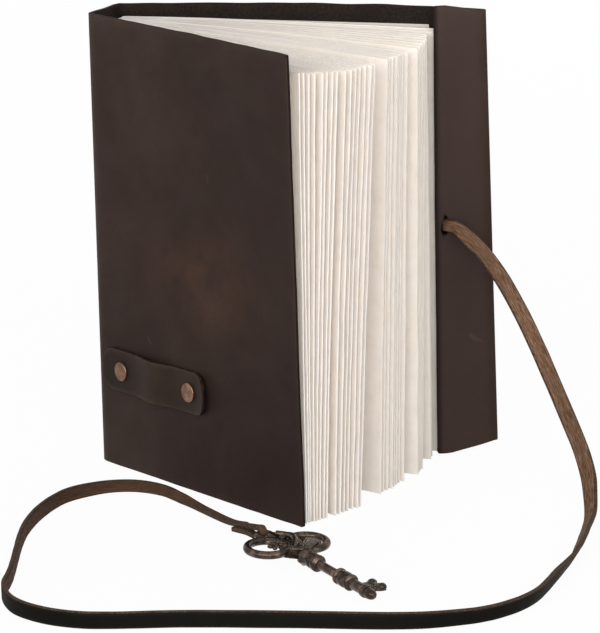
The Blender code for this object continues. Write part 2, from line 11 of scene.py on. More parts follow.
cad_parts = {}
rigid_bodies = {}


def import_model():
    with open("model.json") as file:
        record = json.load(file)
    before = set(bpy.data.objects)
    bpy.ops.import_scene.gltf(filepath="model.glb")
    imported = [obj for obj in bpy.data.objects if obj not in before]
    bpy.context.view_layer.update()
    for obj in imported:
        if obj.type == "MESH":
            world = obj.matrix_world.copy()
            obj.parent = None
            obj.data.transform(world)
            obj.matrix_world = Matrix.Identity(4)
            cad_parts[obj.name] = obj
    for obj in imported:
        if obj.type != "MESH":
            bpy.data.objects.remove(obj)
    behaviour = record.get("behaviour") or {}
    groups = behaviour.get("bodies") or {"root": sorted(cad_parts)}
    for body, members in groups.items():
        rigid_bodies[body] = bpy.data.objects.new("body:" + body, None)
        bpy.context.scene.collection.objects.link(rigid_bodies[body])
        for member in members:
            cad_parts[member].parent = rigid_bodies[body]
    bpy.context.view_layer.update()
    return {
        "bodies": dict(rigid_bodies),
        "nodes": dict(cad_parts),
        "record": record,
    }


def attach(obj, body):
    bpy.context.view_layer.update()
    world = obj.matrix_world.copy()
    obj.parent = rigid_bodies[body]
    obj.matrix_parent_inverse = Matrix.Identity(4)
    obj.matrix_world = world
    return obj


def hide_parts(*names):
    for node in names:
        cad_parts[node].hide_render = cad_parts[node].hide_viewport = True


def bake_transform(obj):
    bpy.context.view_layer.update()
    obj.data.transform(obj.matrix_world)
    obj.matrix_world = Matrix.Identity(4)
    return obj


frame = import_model()

MM = 0.001
TINY = 1e-6
QUARTER = pi / 2
UP = Vector((0.0, 0.0, 1.0))
joints = {j["name"]: Vector(j["pos_m"]) for j in frame["record"]["behaviour"]["joints"]}
REAR = joints["spine_hinge"]
FRONT = joints["front_cover_hinge"]
FLAP = joints["flap_hinge"]
# The hide's height, and how far its outer and inner face lie from the axes of its folds
HEIGHT = 0.188
OUTER = 0.0024
INNER = 0.0006
ORIGIN = REAR + Vector((0.0, OUTER, 0.0))
# Level directions of the panels, from +X
SPINE_TURN = radians(-110.1)
FRONT_TURN = radians(-46.3)
FLAP_TURN = radians(-155.0)
FRONT_WIDTH = 0.131
FLAP_WIDTH = 0.022
SPINE_WIDTH = (FRONT - REAR).length
BACK_WIDTH = (FLAP - REAR).length


def flat(angle):
    """The level direction at an angle from +X."""
    return Vector((cos(angle), sin(angle), 0.0))


def book(x, y, z=0.0):
    """A point in millimetres from the rear corner of the spine."""
    return ORIGIN + Vector((x, y, z)) * MM


def placed(point, turn):
    """A frame at a point, turned about +Z."""
    return Matrix.Translation(point) @ Matrix.Rotation(turn, 4, "Z")


def wave(x, y, seed=0.0):
    """Smooth noise between -1 and 1."""
    return noise.noise(Vector((x, y, seed)))


def smooth_step(share):
    """An even rise from 0 to 1 with a soft start and end."""
    share = min(max(share, 0.0), 1.0)
    return share * share * (3 - 2 * share)


def steps(count):
    """Shares from 0 to 1 in even steps."""
    return [k / count for k in range(count + 1)]


def linear(r, g, b):
    """A colour as the eye sees it, 0 to 255, in linear light."""
    shares = [c / 255 for c in (r, g, b)]
    return (*(s / 12.92 if s <= 0.04045 else ((s + 0.055) / 1.055) ** 2.4 for s in shares), 1.0)


def shaded(tone, *shares):
    """A colour made darker or lighter, by one share or by one each for red, green and blue."""
    return tuple(c * s for c, s in zip(tone, shares * 3))


def add_object(name, data):
    made = bpy.data.objects.new(name, data)
    bpy.context.collection.objects.link(made)
    return made


# Camera
LENS = 235.3
CAMERA_PLACE = book(230.92, -1663.3, 470.8)
LOOK_AZIMUTH = radians(5.5)
LOOK_PITCH = radians(13.96)
LOOK_ROLL = radians(1.336)
scene = bpy.context.scene
scene.view_settings.view_transform = "Standard"
camera = add_object("camera", bpy.data.cameras.new("camera"))
scene.camera = camera
camera.data.lens = LENS
camera.data.clip_end = 20.0
tip = Matrix.Rotation(QUARTER - LOOK_PITCH, 4, "X") @ Matrix.Rotation(-LOOK_ROLL, 4, "Z")
camera.matrix_world = placed(CAMERA_PLACE, LOOK_AZIMUTH) @ tip


def fill(node, sockets):
    """Sets inputs of a node to values, or links them."""
    for key, value in sockets.items():
        if isinstance(value, bpy.types.NodeSocket):
            node.id_data.links.new(value, node.inputs[key])
        else:
            node.inputs[key].default_value = value
    return node


def add_node(tree, kind, sockets, **settings):
    made = tree.nodes.new(kind)
    for key, value in settings.items():
        setattr(made, key, value)
    return fill(made, sockets)


class Look:
    """A procedural material, built node by node on the mesh's own flat coordinates."""

    def __init__(self, name, roughness=0.6, metallic=0.0, specular=0.5):
        self.material = bpy.data.materials.new(name)
        self.material.use_nodes = True
        self.tree = self.material.node_tree
        self.shader = self.tree.nodes["Principled BSDF"]
        fill(self.shader, {"Roughness": roughness, "Metallic": metallic, "Specular IOR Level": specular})
        self.relief = {}

    def node(self, kind, sockets, **settings):
        return add_node(self.tree, kind, sockets, **settings)

    def place(self, scale=(1.0, 1.0, 1.0), source="UV"):
        coordinates = self.node("ShaderNodeTexCoord", {}).outputs[source]
        return self.node("ShaderNodeMapping", {"Vector": coordinates, "Scale": scale}).outputs["Vector"]

    def noise(self, vector, scale, detail=4.0, roughness=0.55, distortion=0.0):
        sockets = {"Scale": scale, "Detail": detail, "Roughness": roughness, "Distortion": distortion}
        return self.node("ShaderNodeTexNoise", {"Vector": vector, **sockets}).outputs["Fac"]

    def cells(self, vector, scale):
        sockets = {"Vector": vector, "Scale": scale}
        return self.node("ShaderNodeTexVoronoi", sockets, feature="DISTANCE_TO_EDGE").outputs["Distance"]

    def ramp(self, value, *stops):
        made = self.node("ShaderNodeValToRGB", {"Fac": value})
        elements = made.color_ramp.elements
        while len(elements) < len(stops):
            elements.new(0.5)
        for element, (place, colour) in zip(elements, stops):
            element.position = place
            element.color = linear(*colour) if isinstance(colour, tuple) else (colour, colour, colour, 1.0)
        return made.outputs["Color"]

    def calc(self, operation, a, b=0.0):
        return self.node("ShaderNodeMath", {0: a, 1: b}, operation=operation).outputs[0]

    def mix(self, share, base, tone):
        return self.node("ShaderNodeMix", {0: share, 6: base, 7: linear(*tone)}, data_type="RGBA").outputs[2]

    def attribute(self, name):
        return self.node("ShaderNodeAttribute", {}, attribute_name=name).outputs["Fac"]

    def patches(self, name, vector, scale, detail, *stops):
        """A mark painted on the mesh, broken up by noise."""
        broken = self.ramp(self.noise(vector, scale, detail), *stops)
        return self.calc("MULTIPLY", self.attribute(name), broken)

    def bump(self, height, strength, distance):
        """A relief on top of those before it."""
        sockets = {"Height": height, "Strength": strength, "Distance": distance}
        self.relief = {"Normal": self.node("ShaderNodeBump", {**sockets, **self.relief}).outputs["Normal"]}

    def done(self, colour, roughness=None):
        fill(self.shader, {"Base Color": colour, **self.relief})
        if roughness is not None:
            fill(self.shader, {"Roughness": roughness})
        return self.material


RUBBED = (84, 60, 46)
WORN = (92, 74, 60)
SCUFFED = (124, 104, 90)
FIBRE = (220, 206, 184)


def scratch(look, vector, angle, scale, share):
    """A few thin lines, broken up so that each is short."""
    mapping = look.node("ShaderNodeMapping", {"Vector": vector, "Rotation": (0.0, 0.0, angle)})
    bent = look.noise(mapping.outputs["Vector"], scale, 1.0, 0.5)
    line = look.calc("ABSOLUTE", look.calc("SUBTRACT", bent, 0.5))
    thin = look.ramp(line, (0.0, 1.0), (0.003, 0.0))
    spots = look.ramp(look.noise(vector, scale * 1.7, 2.0), (share, 0.0), (share + 0.04, 1.0))
    return look.calc("MULTIPLY", thin, spots)


def leather(name, tones, warm=0.8, shine=0.06):
    """Dark waxed hide: mottled brown, a warm rubbed area, faint scuffs and a fine pebbled grain, with painted
    shade and painted light where the mesh marks them.
    """
    look = Look(name, specular=shine)
    at = look.place()
    dark, middle, pale = tones
    cloud = look.noise(at, 15.0, 5.0, 0.6, 0.6)
    base = look.ramp(cloud, (0.3, dark), (0.5, middle), (0.72, pale))
    olive = look.ramp(look.noise(at, 31.0, 3.0), (0.48, 0.0), (0.75, 0.55))
    base = look.mix(olive, base, shaded(middle, 0.94, 0.97, 0.84))
    rubbed = look.patches("rub", at, 60.0, 4.0, (0.35, 0.2), (0.7, 1.0))
    base = look.mix(look.calc("MULTIPLY", rubbed, warm), base, RUBBED)
    worn = look.patches("wear", at, 210.0, 3.0, (0.3, 0.3), (0.75, 1.0))
    base = look.mix(worn, base, WORN)
    speck = look.ramp(look.noise(at, 1500.0, 2.0), (0.6, 0.0), (0.8, 0.5))
    base = look.mix(speck, base, shaded(dark, 0.6))
    # Painted shade, where the mesh marks it
    base = look.mix(look.attribute("painted_shade"), base, shaded(middle, 0.64))
    # Painted light on the flap, where the mesh marks it
    base = look.mix(look.attribute("flap_painted_light"), base, shaded(middle, 1.3, 1.42, 1.5))
    lines = look.calc("ADD", scratch(look, at, 0.7, 19.0, 0.66), scratch(look, at, 2.4, 14.0, 0.68))
    base = look.mix(look.calc("MULTIPLY", lines, 0.22), base, SCUFFED)
    gloss = look.ramp(look.noise(at, 46.0, 4.0), (0.3, 0.5), (0.7, 0.68))
    look.bump(look.ramp(look.cells(at, 720.0), (0.0, 0.0), (0.22, 1.0)), 0.14, 0.0002)
    look.bump(look.noise(at, 2600.0, 3.0), 0.12, 0.0002)
    look.bump(look.noise(at, 120.0, 3.0), 0.12, 0.0006)
    return look.done(base, gloss)


def flesh(name, dark, middle, pale, stretch=(1.0, 1.0, 1.0)):
    """The fibrous back of a hide, darker where the mesh marks painted shade."""
    look = Look(name, 0.85, specular=0.1)
    at = look.place(stretch)
    nap = look.noise(at, 900.0, 5.0, 0.7)
    cloud = look.noise(at, 60.0, 4.0)
    base = look.ramp(nap, (0.34, dark), (0.5, middle), (0.68, pale))
    base = look.mix(look.ramp(cloud, (0.42, 0.0), (0.7, 0.55)), base, dark)
    # Painted shade, where the mesh marks it
    base = look.mix(look.attribute("painted_shade"), base, shaded(dark, 0.8))
    look.bump(nap, 0.5, 0.0003)
    return look.done(base, look.ramp(nap, (0.3, 0.92), (0.7, 0.72)))


def paper(name, tone):
    """Soft handmade paper with faint fibres and cloudy pulp."""
    look = Look(name, 0.92, specular=0.1)
    depth = {"Subsurface Radius": (1.0, 0.9, 0.8), "Subsurface Scale": 0.0015}
    fill(look.shader, {"Subsurface Weight": 0.4, **depth})
    at = look.place()
    pulp = look.noise(at, 130.0, 5.0, 0.65)
    base = look.ramp(pulp, (0.3, shaded(tone, 0.975)), (0.5, tone), (0.75, shaded(tone, 1.015)))
    fibre = look.ramp(look.noise(look.place((1.0, 6.0, 1.0)), 420.0, 3.0), (0.66, 0.0), (0.78, 0.25))
    base = look.mix(fibre, base, FIBRE)
    look.bump(look.noise(at, 1400.0, 4.0), 0.18, 0.00015)
    look.bump(pulp, 0.1, 0.0006)
    return look.done(base)


def metal(name, deep, body, bright, roughness, scale, metallic=0.9):
    """Aged metal: darker in its clouds, brighter where it is handled, with fine pits."""
    look = Look(name, roughness, metallic)
    at = look.place(source="Object")
    cloud = look.noise(at, scale, 5.0, 0.55)
    base = look.ramp(cloud, (0.3, deep), (0.5, body), (0.72, bright))
    spots = look.ramp(look.noise(at, scale * 7, 3.0), (0.62, 0.0), (0.78, 0.6))
    base = look.mix(spots, base, deep)
    look.bump(look.noise(at, scale * 9, 4.0), 0.08, 0.0002)
    rough = look.ramp(look.noise(at, scale * 2.5, 4.0), (0.3, roughness - 0.06), (0.7, roughness + 0.1))
    return look.done(base, rough)


def cloth(name, tone, threads):
    """A plain weave or a twisted thread."""
    look = Look(name, 0.9, specular=0.2)
    sockets = {"Vector": look.place(source="Object"), "Scale": threads, "Distortion": 1.5}
    waves = look.node("ShaderNodeTexWave", sockets, wave_type="BANDS", bands_direction="DIAGONAL")
    weave = waves.outputs["Fac"]
    look.bump(weave, 0.4, 0.0002)
    return look.done(look.ramp(weave, (0.2, shaded(tone, 0.72)), (0.8, tone)))


HIDE = leather("cover_hide", ((42, 31, 27), (52, 39, 35), (63, 50, 44)))
STRAP_HIDE = leather("strap_hide", ((31, 23, 20), (39, 30, 26), (47, 37, 31)), 0.2)
HIDE_BACK = flesh("hide_back", (25, 20, 18), (37, 29, 26), (48, 39, 35))
HIDE_EDGE = flesh("hide_edge", (24, 18, 16), (36, 28, 24), (50, 39, 33))
THONG_GRAIN = leather("thong_grain", ((14, 13, 11), (20, 19, 16), (28, 26, 21)), 0.1, 0.03)
THONG_FLESH = flesh("thong_flesh", (66, 46, 34), (110, 82, 63), (156, 126, 102), (0.22, 2.6, 1.0))
THONG_EDGE = flesh("thong_edge", (44, 35, 28), (72, 58, 46), (112, 92, 74))
PAPER = paper("page_paper", (241, 231, 221))
# The pages' cut edges: the same paper, lighter and whiter: painted light
LIT_PAPER_EDGE = paper("page_edge_painted_light", (245, 239, 233))
ENDPAPER = paper("end_paper", (236, 226, 212))
COPPER = metal("rivet_copper", (88, 63, 48), (117, 87, 68), (142, 111, 91), 0.4, 320.0)
BRONZE = metal("key_bronze", (32, 26, 22), (61, 49, 41), (116, 97, 82), 0.25, 260.0, 0.75)
CLOTH = cloth("lining_weave", (205, 195, 178), 900.0)
LINEN = cloth("sewing_linen", (190, 176, 150), 700.0)


def finish_piece(name, builder, looks, smooth_angle=50.0):
    """A mesh object with its materials, smooth but for its sharp edges."""
    bmesh.ops.recalc_face_normals(builder, faces=builder.faces)
    mesh = bpy.data.meshes.new(name)
    builder.to_mesh(mesh)
    builder.free()
    for look in looks:
        mesh.materials.append(look)
    mesh.shade_smooth()
    mesh.set_sharp_from_angle(angle=radians(smooth_angle))
    made = add_object(name, mesh)
    return made


def loft(builder, rings, uvs, slots, caps=(None, None), marks=None):
    """Faces between rings of points; uvs follow the rings, slots give each side its material."""
    layer = builder.loops.layers.uv.verify()
    marks = marks or {}
    layers = {key: builder.verts.layers.float.new(key) for key in marks}

    def add_face(corners, places, slot):
        face = builder.faces.new(corners)
        face.material_index = slot
        for loop, uv in zip(face.loops, places):
            loop[layer].uv = uv

    made = []
    for i, ring in enumerate(rings):
        made.append([builder.verts.new(p) for p in ring])
        for key, values in marks.items():
            for vert, value in zip(made[-1], values[i]):
                vert[layers[key]] = value
    count = len(rings[0])
    for i in range(len(rings) - 1):
        for j in range(count):
            corners = ((i, j), (i, (j + 1) % count), (i + 1, (j + 1) % count), (i + 1, j))
            add_face([made[a][b] for a, b in corners], [uvs[a][b] for a, b in corners], slots[j])
    for end, way, slot in zip((0, -1), (-1, 1), caps):
        if slot is not None:
            add_face(made[end][::way], uvs[end][::way], slot)


def heading(points, i):
    """The direction of a line of points at its point i."""
    return (points[min(i + 1, len(points) - 1)] - points[max(i - 1, 0)]).normalized()


def smooth_route(route, step):
    """Points a steady step apart on a smooth curve through the route, and its length."""
    ends = [2 * route[0] - route[1], *route, 2 * route[-1] - route[-2]]
    fine = []
    for a, b, c, d in zip(ends, ends[1:], ends[2:], ends[3:]):
        for t in steps(24)[:-1]:
            bend = (2 * a - 5 * b + 4 * c - d) * t * t + (3 * b - 3 * c + d - a) * t * t * t
            fine.append(b + 0.5 * ((c - a) * t + bend))
    fine.append(route[-1])
    lengths = [0.0]
    for p, q in zip(fine, fine[1:]):
        lengths.append(lengths[-1] + (q - p).length)
    count = max(2, round(lengths[-1] / step))
    found = []
    index = 0
    for i in range(count + 1):
        want = lengths[-1] * i / count
        while index < len(fine) - 2 and lengths[index + 1] < want:
            index += 1
        share = (want - lengths[index]) / max(lengths[index + 1] - lengths[index], 1e-9)
        found.append(fine[index].lerp(fine[index + 1], share))
    return found, lengths[-1]


# Thong: one flat lace from the flap's slit to the eye of the key
THONG_WIDTH = 0.0064
THONG_THICKNESS = 0.0018
END_WIDTH = 0.0030
TAPER_LENGTH = 0.15
TWIST_START = 0.078
TWIST_LENGTH = 0.034
LACE_STEP = 0.0022
END_STEP = 0.0008
FLOOR_GAP = 0.0003
# The slit gathers the lace to a share of its width; behind the eye it spreads again
SLIT_SHARE = 0.76
SLIT_RUN = 0.003
SLIT_OPENING = 0.014
END_SPREAD = 0.1
END_SPREAD_RUN = 0.012
# How uneven the lace is cut, how much its faces dip, and the shade painted along it: darker farther from the
# slit, less on its cut edges
CUT_WAVER = 0.03
FACE_DIP = 0.00012
LACE_SHADE_START = 0.08
LACE_SHADE_RUN = 0.25
LACE_SHADE = 0.72
EDGE_SHADE_SHARE = 0.2
FLESH_SHIFT = 0.02
SLIT_X = FLAP_WIDTH - 0.0032
SLIT_HEIGHT = 0.097
# Out of the slit: along the flap and out from it, in metres
OUT_OF_SLIT = ((0.0, INNER), (0.0, OUTER), (-0.0003, 0.0042), (-0.0022, 0.0064))
# Its course, in millimetres from the rear corner of the spine
HANGING = (
    (140.3, -17.0, 94.6), (148.2, -22.0, 87.9), (155.9, -29.0, 79.1), (163.8, -38.0, 67.4),
    (170.7, -47.0, 55.4), (177.3, -56.0, 42.6), (183.5, -66.0, 30.7), (189.2, -77.0, 19.8),
    (192.3, -88.0, 12.2), (193.3, -98.0, 7.0),
)
LYING = (
    (193.6, -112.2), (192.0, -133.7), (188.7, -163.4), (182.5, -189.6), (175.1, -216.0), (162.4, -233.2),
    (145.8, -241.7), (126.0, -245.1), (87.0, -244.3), (50.0, -244.4), (12.2, -246.5), (-10.9, -234.8),
    (-21.2, -215.1), (-22.6, -188.9), (-25.9, -132.0), (-19.1, -92.5), (-6.0, -75.8), (8.0, -71.4),
    (20.4, -76.5), (29.5, -87.0), (42.0, -104.5),
)
RISING = ((54.0, -128.0, 6.5), (61.0, -139.4, 8.95))
# How far the lace leans from upright, in degrees, at distances from the slit
LEANS = (
    (0.0, 0.0), (0.014, 34.0), (0.03, 62.0), (0.06, 72.0), (0.1, 70.0), (0.13, 58.0), (0.152, 44.0),
    (0.19, 36.0), (0.217, 31.0), (0.244, 16.0), (0.292, 16.0), (0.33, 0.0),
)
# Section of the lace, in shares of half its width and half its thickness: grain, edge, flesh, edge
LACE_HALF = (
    (-0.86, -1.0), (-0.45, -1.02), (0.0, -1.04), (0.45, -1.02), (0.86, -1.0), (1.0, -0.62), (1.0, 0.62)
)
LACE_SECTION = (*LACE_HALF, *((-w, -t) for w, t in LACE_HALF))
LACE_SLOTS = [0] * 4 + [2] * 3 + [1] * 4 + [2] * 3
flap_frame = placed(FLAP, FLAP_TURN)
# The key's own frame, in millimetres: +X along its shank, +Z out of its upper face
KEY_TURN = radians(-52.8)
KEY_TILT = radians(4.1)
key_frame = placed(book(69.3, -151.4, 8.1), KEY_TURN)
key_frame = key_frame @ Matrix.Rotation(KEY_TILT, 4, "Y") @ Matrix.Scale(MM, 4)
EYE_CENTRE = Vector((0.8, 0.0, -1.2))
EYE_RADIUS = 2.8
EYE_WIRE = 1.2
EYE_GAP = 0.1
# The lace's doubled end in that frame: up to the eye, and back from it
TO_EYE = ((-13.7, 0.6, -2.0), (-7.5, 0.3, -0.5))
BACK_FROM_EYE = ((-5.5, -1.0, -2.7), (-8.5, -1.7, -2.5), (-12.2, -2.5, -2.8), (-16.0, -3.2, -3.2))


def lean_at(run):
    for (start, first), (end, last) in zip(LEANS, LEANS[1:]):
        if run <= end:
            return radians(first + (last - first) * smooth_step((run - start) / (end - start)))
    return radians(LEANS[-1][1])


def lace_half_width(run, left):
    """Half the width at a distance from the slit, with a distance left to the key."""
    half = (END_WIDTH + (THONG_WIDTH - END_WIDTH) * min(max(left / TAPER_LENGTH, 0.0), 1.0)) / 2
    half *= SLIT_SHARE + (1 - SLIT_SHARE) * smooth_step((run - SLIT_RUN) / SLIT_OPENING)
    half *= 1 + END_SPREAD * smooth_step(-left / END_SPREAD_RUN)
    return half * (1 + CUT_WAVER * wave(run * 60, 3.0))


def lace_piece(name, rings, uvs, wear, painted_shade, grain):
    """A stretch of the lace."""
    builder = bmesh.new()
    loft(builder, rings, uvs, LACE_SLOTS, caps=(2, 2), marks={"wear": wear, "painted_shade": painted_shade})
    return finish_piece(name, builder, (grain, THONG_FLESH, THONG_EDGE), 40.0)


def make_thong():
    """The lace: grain outside its loop, flesh inside, narrowing to the end doubled through the eye."""
    route = [flap_frame @ Vector((SLIT_X + x, y, SLIT_HEIGHT)) for x, y in OUT_OF_SLIT]
    route += [book(*p) for p in HANGING]
    route += [book(x, y, (THONG_WIDTH / 2 + FLOOR_GAP) / MM) for x, y in LYING]
    route += [book(*p) for p in RISING]
    body, body_length = smooth_route(route, LACE_STEP)
    for i, point in enumerate(body):
        left = body_length * (1 - i / (len(body) - 1))
        point.z -= (THONG_WIDTH - END_WIDTH) / 2 * max(1 - left / TAPER_LENGTH, 0.0)
    wrap = EYE_WIRE + EYE_GAP + THONG_THICKNESS / MM / 2
    doubled = [Vector(p) for p in TO_EYE]
    for angle in range(90, -91, -30):
        a = radians(angle)
        doubled.append(EYE_CENTRE + Vector((wrap * cos(a) - EYE_RADIUS, 0.0, wrap * sin(a))))
    doubled += [Vector(p) for p in BACK_FROM_EYE]
    tail, _ = smooth_route([body[-1], *(key_frame @ p for p in doubled)], END_STEP)
    points = body + tail[1:]
    key_side = (key_frame.to_3x3() @ Vector((0.0, 1.0, 0.0))).normalized()
    rings, uvs, wear, painted_shade = rows = ([], [], [], [])
    run = 0.0
    for i, point in enumerate(points):
        if i:
            run += (point - points[i - 1]).length
        left = body_length - run
        along = heading(points, i)
        twist = smooth_step((TWIST_START - left) / TWIST_LENGTH)
        wide = UP.lerp(key_side, twist)
        wide = (wide - wide.dot(along) * along).normalized()
        thin = along.cross(wide)
        c, s = cos(lean_at(run)), sin(lean_at(run))
        wide, thin = c * wide - s * thin, c * thin + s * wide
        half = lace_half_width(run, left)
        thick = THONG_THICKNESS / 2
        dip = FACE_DIP * wave(run * 140, 9.0) * (1 - twist)
        # Painted shade: darker from the lower hanging stretch on, a little less where the end twists through
        # the eye
        shade = LACE_SHADE * smooth_step((run - LACE_SHADE_START) / LACE_SHADE_RUN) - 0.2 * twist
        rings.append([point + w * half * wide + (t * thick + dip) * thin for w, t in LACE_SECTION])
        uvs.append([(run, w * half + FLESH_SHIFT * (t > 0)) for w, t in LACE_SECTION])
        wear.append([0.25 if abs(w) > 0.8 else 0.05 for w, _ in LACE_SECTION])
        painted_shade.append([shade if abs(w) < 1 else EDGE_SHADE_SHARE * shade for w, _ in LACE_SECTION])
    seam = len(body)
    lace = lace_piece("thong", *(row[:seam] for row in rows), THONG_GRAIN)
    end = lace_piece("thong_end", *(row[seam - 1 :] for row in rows), THONG_EDGE)
    return lace, end, body, body_length


thong, thong_end, thong_path, thong_length = make_thong()


def circle(sides):
    """Angles round a bar."""
    return [2 * pi * k / sides for k in range(sides)]


def loft_bar(builder, rings, places, ends=True):
    """A bar of one material through rings of points."""
    sides = len(rings[0])
    uvs = [[(place, k / sides) for k in range(sides)] for place in places]
    loft(builder, rings, uvs, [0] * sides, caps=(0, 0) if ends else (None, None))


def make_tube(builder, path, radius, sides, squash=1.0, ends=True):
    """A round bar along a path; radius is a number or a function of the share along it."""
    rings = []
    shares = steps(len(path) - 1)
    side = UP
    for i, (point, share) in enumerate(zip(path, shares)):
        along = heading(path, i)
        if abs(side.dot(along)) > 0.95:
            side = Vector((0.0, 1.0, 0.0))
        side = (side - side.dot(along) * along).normalized()
        other = along.cross(side)
        r = radius(share) if callable(radius) else radius
        ring = [point + r * (cos(a) * side * squash + sin(a) * other) for a in circle(sides)]
        rings.append(ring)
    loft_bar(builder, rings, shares, ends)


def make_lathe(builder, profile, place, sides, flutes=0, depth=0.0, tall=1.0):
    """A turned bar along local X from (radius, distance) points, fluted if asked."""
    rings = []
    for radius, x in profile:
        ring = []
        for a in circle(sides):
            r = radius * (1 - depth * (0.5 + 0.5 * cos(flutes * a)))
            ring.append(place @ Vector((x, r * sin(a), r * cos(a) * tall)))
        rings.append(ring)
    loft_bar(builder, rings, [x for _, x in profile])


def make_blob(builder, centre, size, twist=0.0, segments=16):
    """A rounded casting lump."""
    matrix = placed(centre, twist) @ Matrix.Diagonal((*size, 1.0))
    bmesh.ops.create_uvsphere(
        builder, u_segments=segments, v_segments=segments // 2 + 2, radius=1.0, matrix=matrix, calc_uvs=True
    )


def polar(centre, radius, angle):
    """A point round a centre in the key's own plane, at an angle in degrees."""
    return Vector(centre) + radius * flat(radians(angle))


def ring_path(centre, radius, count):
    return [polar(centre, radius, 360 * s) for s in steps(count)]


# The key, in millimetres in its own frame. Bow: two loops, tendrils, a fan of leaves and a flower
LOOP_PLACE = (17.2, 8.7)
LOOP_RADIUS = 7.8
LOOP_WIRE = 1.57
TENDRIL_CENTRE = (12.2, 3.6, 1.3)
LEAF_FOOT = Vector((28.8, 0.4, 2.2))
LEAF_FALL = 0.9
# How far each leaf of the fan reaches to the side and back
LEAF_TIPS = ((10.0, 6.2), (9.0, 8.0), (7.6, 9.2), (6.0, 9.9), (4.3, 10.2), (2.6, 10.0), (-5.0, 6.4))
FLOWER = Vector((19.3, -5.6, 1.7))
# Rings of petals: how many, how far from the middle, their size
PETALS = ((7, 2.6, 1.5), (5, 1.3, 1.1))
# Berries between the scrolls: place and size
BERRIES = ((13.1, 0.6, 1.4), (19.6, 3.4, 1.3), (16.0, -2.4, 1.3))
# Turned parts: radius and place along the shank
STEM = (
    (1.5, 3.4), (2.1, 4.6), (3.0, 6.0), (3.5, 7.6), (3.4, 9.0), (2.7, 10.6), (2.4, 12.5), (2.8, 14.6),
    (3.4, 16.6), (3.5, 18.2), (2.9, 20.5), (2.2, 22.5),
)
CROWN = (
    (5.0, 21.2), (6.8, 22.1), (7.5, 23.5), (7.0, 25.2), (5.8, 27.0), (4.6, 28.7), (3.9, 30.2), (3.4, 32.0),
)
SHOULDER = ((2.8, 29.0), (3.7, 30.0), (3.9, 31.4), (3.3, 33.0), (2.8, 34.6))
COLLAR = (
    (2.4, 33.6), (2.9, 34.3), (3.1, 35.2), (3.1, 36.8), (2.7, 37.3), (2.7, 37.8), (3.2, 38.1),
    (3.3, 38.6), (3.3, 39.6), (3.0, 40.0), (2.2, 40.2), (1.7, 40.7),
)
SHANK = ((1.9, 40.2), (1.8, 42.5), (1.76, 48.0), (1.8, 52.5), (1.9, 54.0))
KNUCKLE = (
    (1.6, 53.6), (2.8, 53.8), (3.2, 54.2), (3.2, 54.9), (2.9, 55.3), (2.6, 55.6), (2.7, 56.0),
    (3.0, 56.4), (3.1, 57.5), (3.15, 58.8), (3.0, 60.1), (2.6, 60.6), (2.6, 61.0), (3.0, 61.3),
    (3.2, 61.7), (3.2, 62.4), (2.8, 62.9), (2.0, 63.2),
)
NECK = ((2.1, 62.8), (2.05, 65.0), (2.05, 69.0), (2.1, 71.6))
TIP = (
    (2.0, 70.8), (2.5, 71.1), (2.6, 71.7), (2.6, 72.6), (2.4, 73.1), (1.9, 73.3), (1.9, 73.6),
    (2.2, 73.9), (2.25, 74.8), (2.1, 76.0), (1.7, 77.2), (1.1, 78.0), (0.4, 78.4),
)
# Bit: outline of its plate, half its thickness, and the lumps that round it: place, size and turn
BIT = (
    (66.4, 0.8), (66.9, 3.6), (65.6, 5.6), (67.4, 8.2), (68.6, 6.4), (69.6, 6.6), (70.4, 9.0),
    (73.0, 8.6), (72.6, 6.2), (71.4, 4.0), (71.6, 0.8),
)
BIT_HALF = 1.1
BIT_LUMPS = (
    ((66.4, 6.6, 0.0), (1.9, 2.1, 1.7), 0.3),
    ((71.5, 7.6, 0.0), (1.7, 1.9, 1.6), -0.3),
    ((69.0, 5.0, 0.0), (3.0, 1.6, 1.5), 0.0),
)


def make_bow(builder):
    """The key's bow with its cast leaf work."""
    make_tube(builder, ring_path(EYE_CENTRE, EYE_RADIUS, 36), EYE_WIRE, 12, ends=False)
    for sign in (-1, 1):
        loop = ring_path((LOOP_PLACE[0], LOOP_PLACE[1] * sign, 0.1 - 0.5 * sign), LOOP_RADIUS, 72)
        make_tube(builder, loop, LOOP_WIRE, 20, ends=False)
        tendril = [polar(TENDRIL_CENTRE, 3.1 - 1.9 * s, 150 - 330 * s) for s in steps(36)]
        tendril = [Vector((p.x, sign * p.y, p.z)) for p in tendril]
        make_tube(builder, tendril, lambda s: 0.85 - 0.3 * s, 10)
    for reach, back in LEAF_TIPS:
        leaf = [LEAF_FOOT + Vector((-back * s, reach * s**1.15, -LEAF_FALL * s)) for s in steps(16)]
        make_tube(builder, leaf, lambda s: sin(pi * (0.14 + 0.76 * s)) + 0.2, 12, 0.9)
    make_blob(builder, (18.8, 8.0, 0.3), (5.8, 5.4, 0.9), 0.0, 28)
    swings = [3.6 * sin(2 * pi * (0.02 + 0.6 * s)) for s in steps(30)]
    crossing = [Vector((8.5 + 17.5 * s, swing, 2.2)) for s, swing in zip(steps(30), swings)]
    make_tube(builder, crossing, lambda s: 1.2 + 0.3 * sin(pi * s), 12, 0.85)
    for tier, (count, spread, size) in enumerate(PETALS):
        for k in range(count):
            a = 2 * pi * k / count + 0.4 * tier
            centre = FLOWER + spread * flat(a) + 0.7 * tier * UP
            make_blob(builder, centre, (size, size * 0.68, size * 0.6), a, 12)
    make_blob(builder, FLOWER + 1.4 * UP, (0.9, 0.9, 0.7), 0.0, 10)
    for x, y, size in BERRIES:
        make_blob(builder, (x, y, 1.9), (size, size, size * 0.8), 0.0, 12)


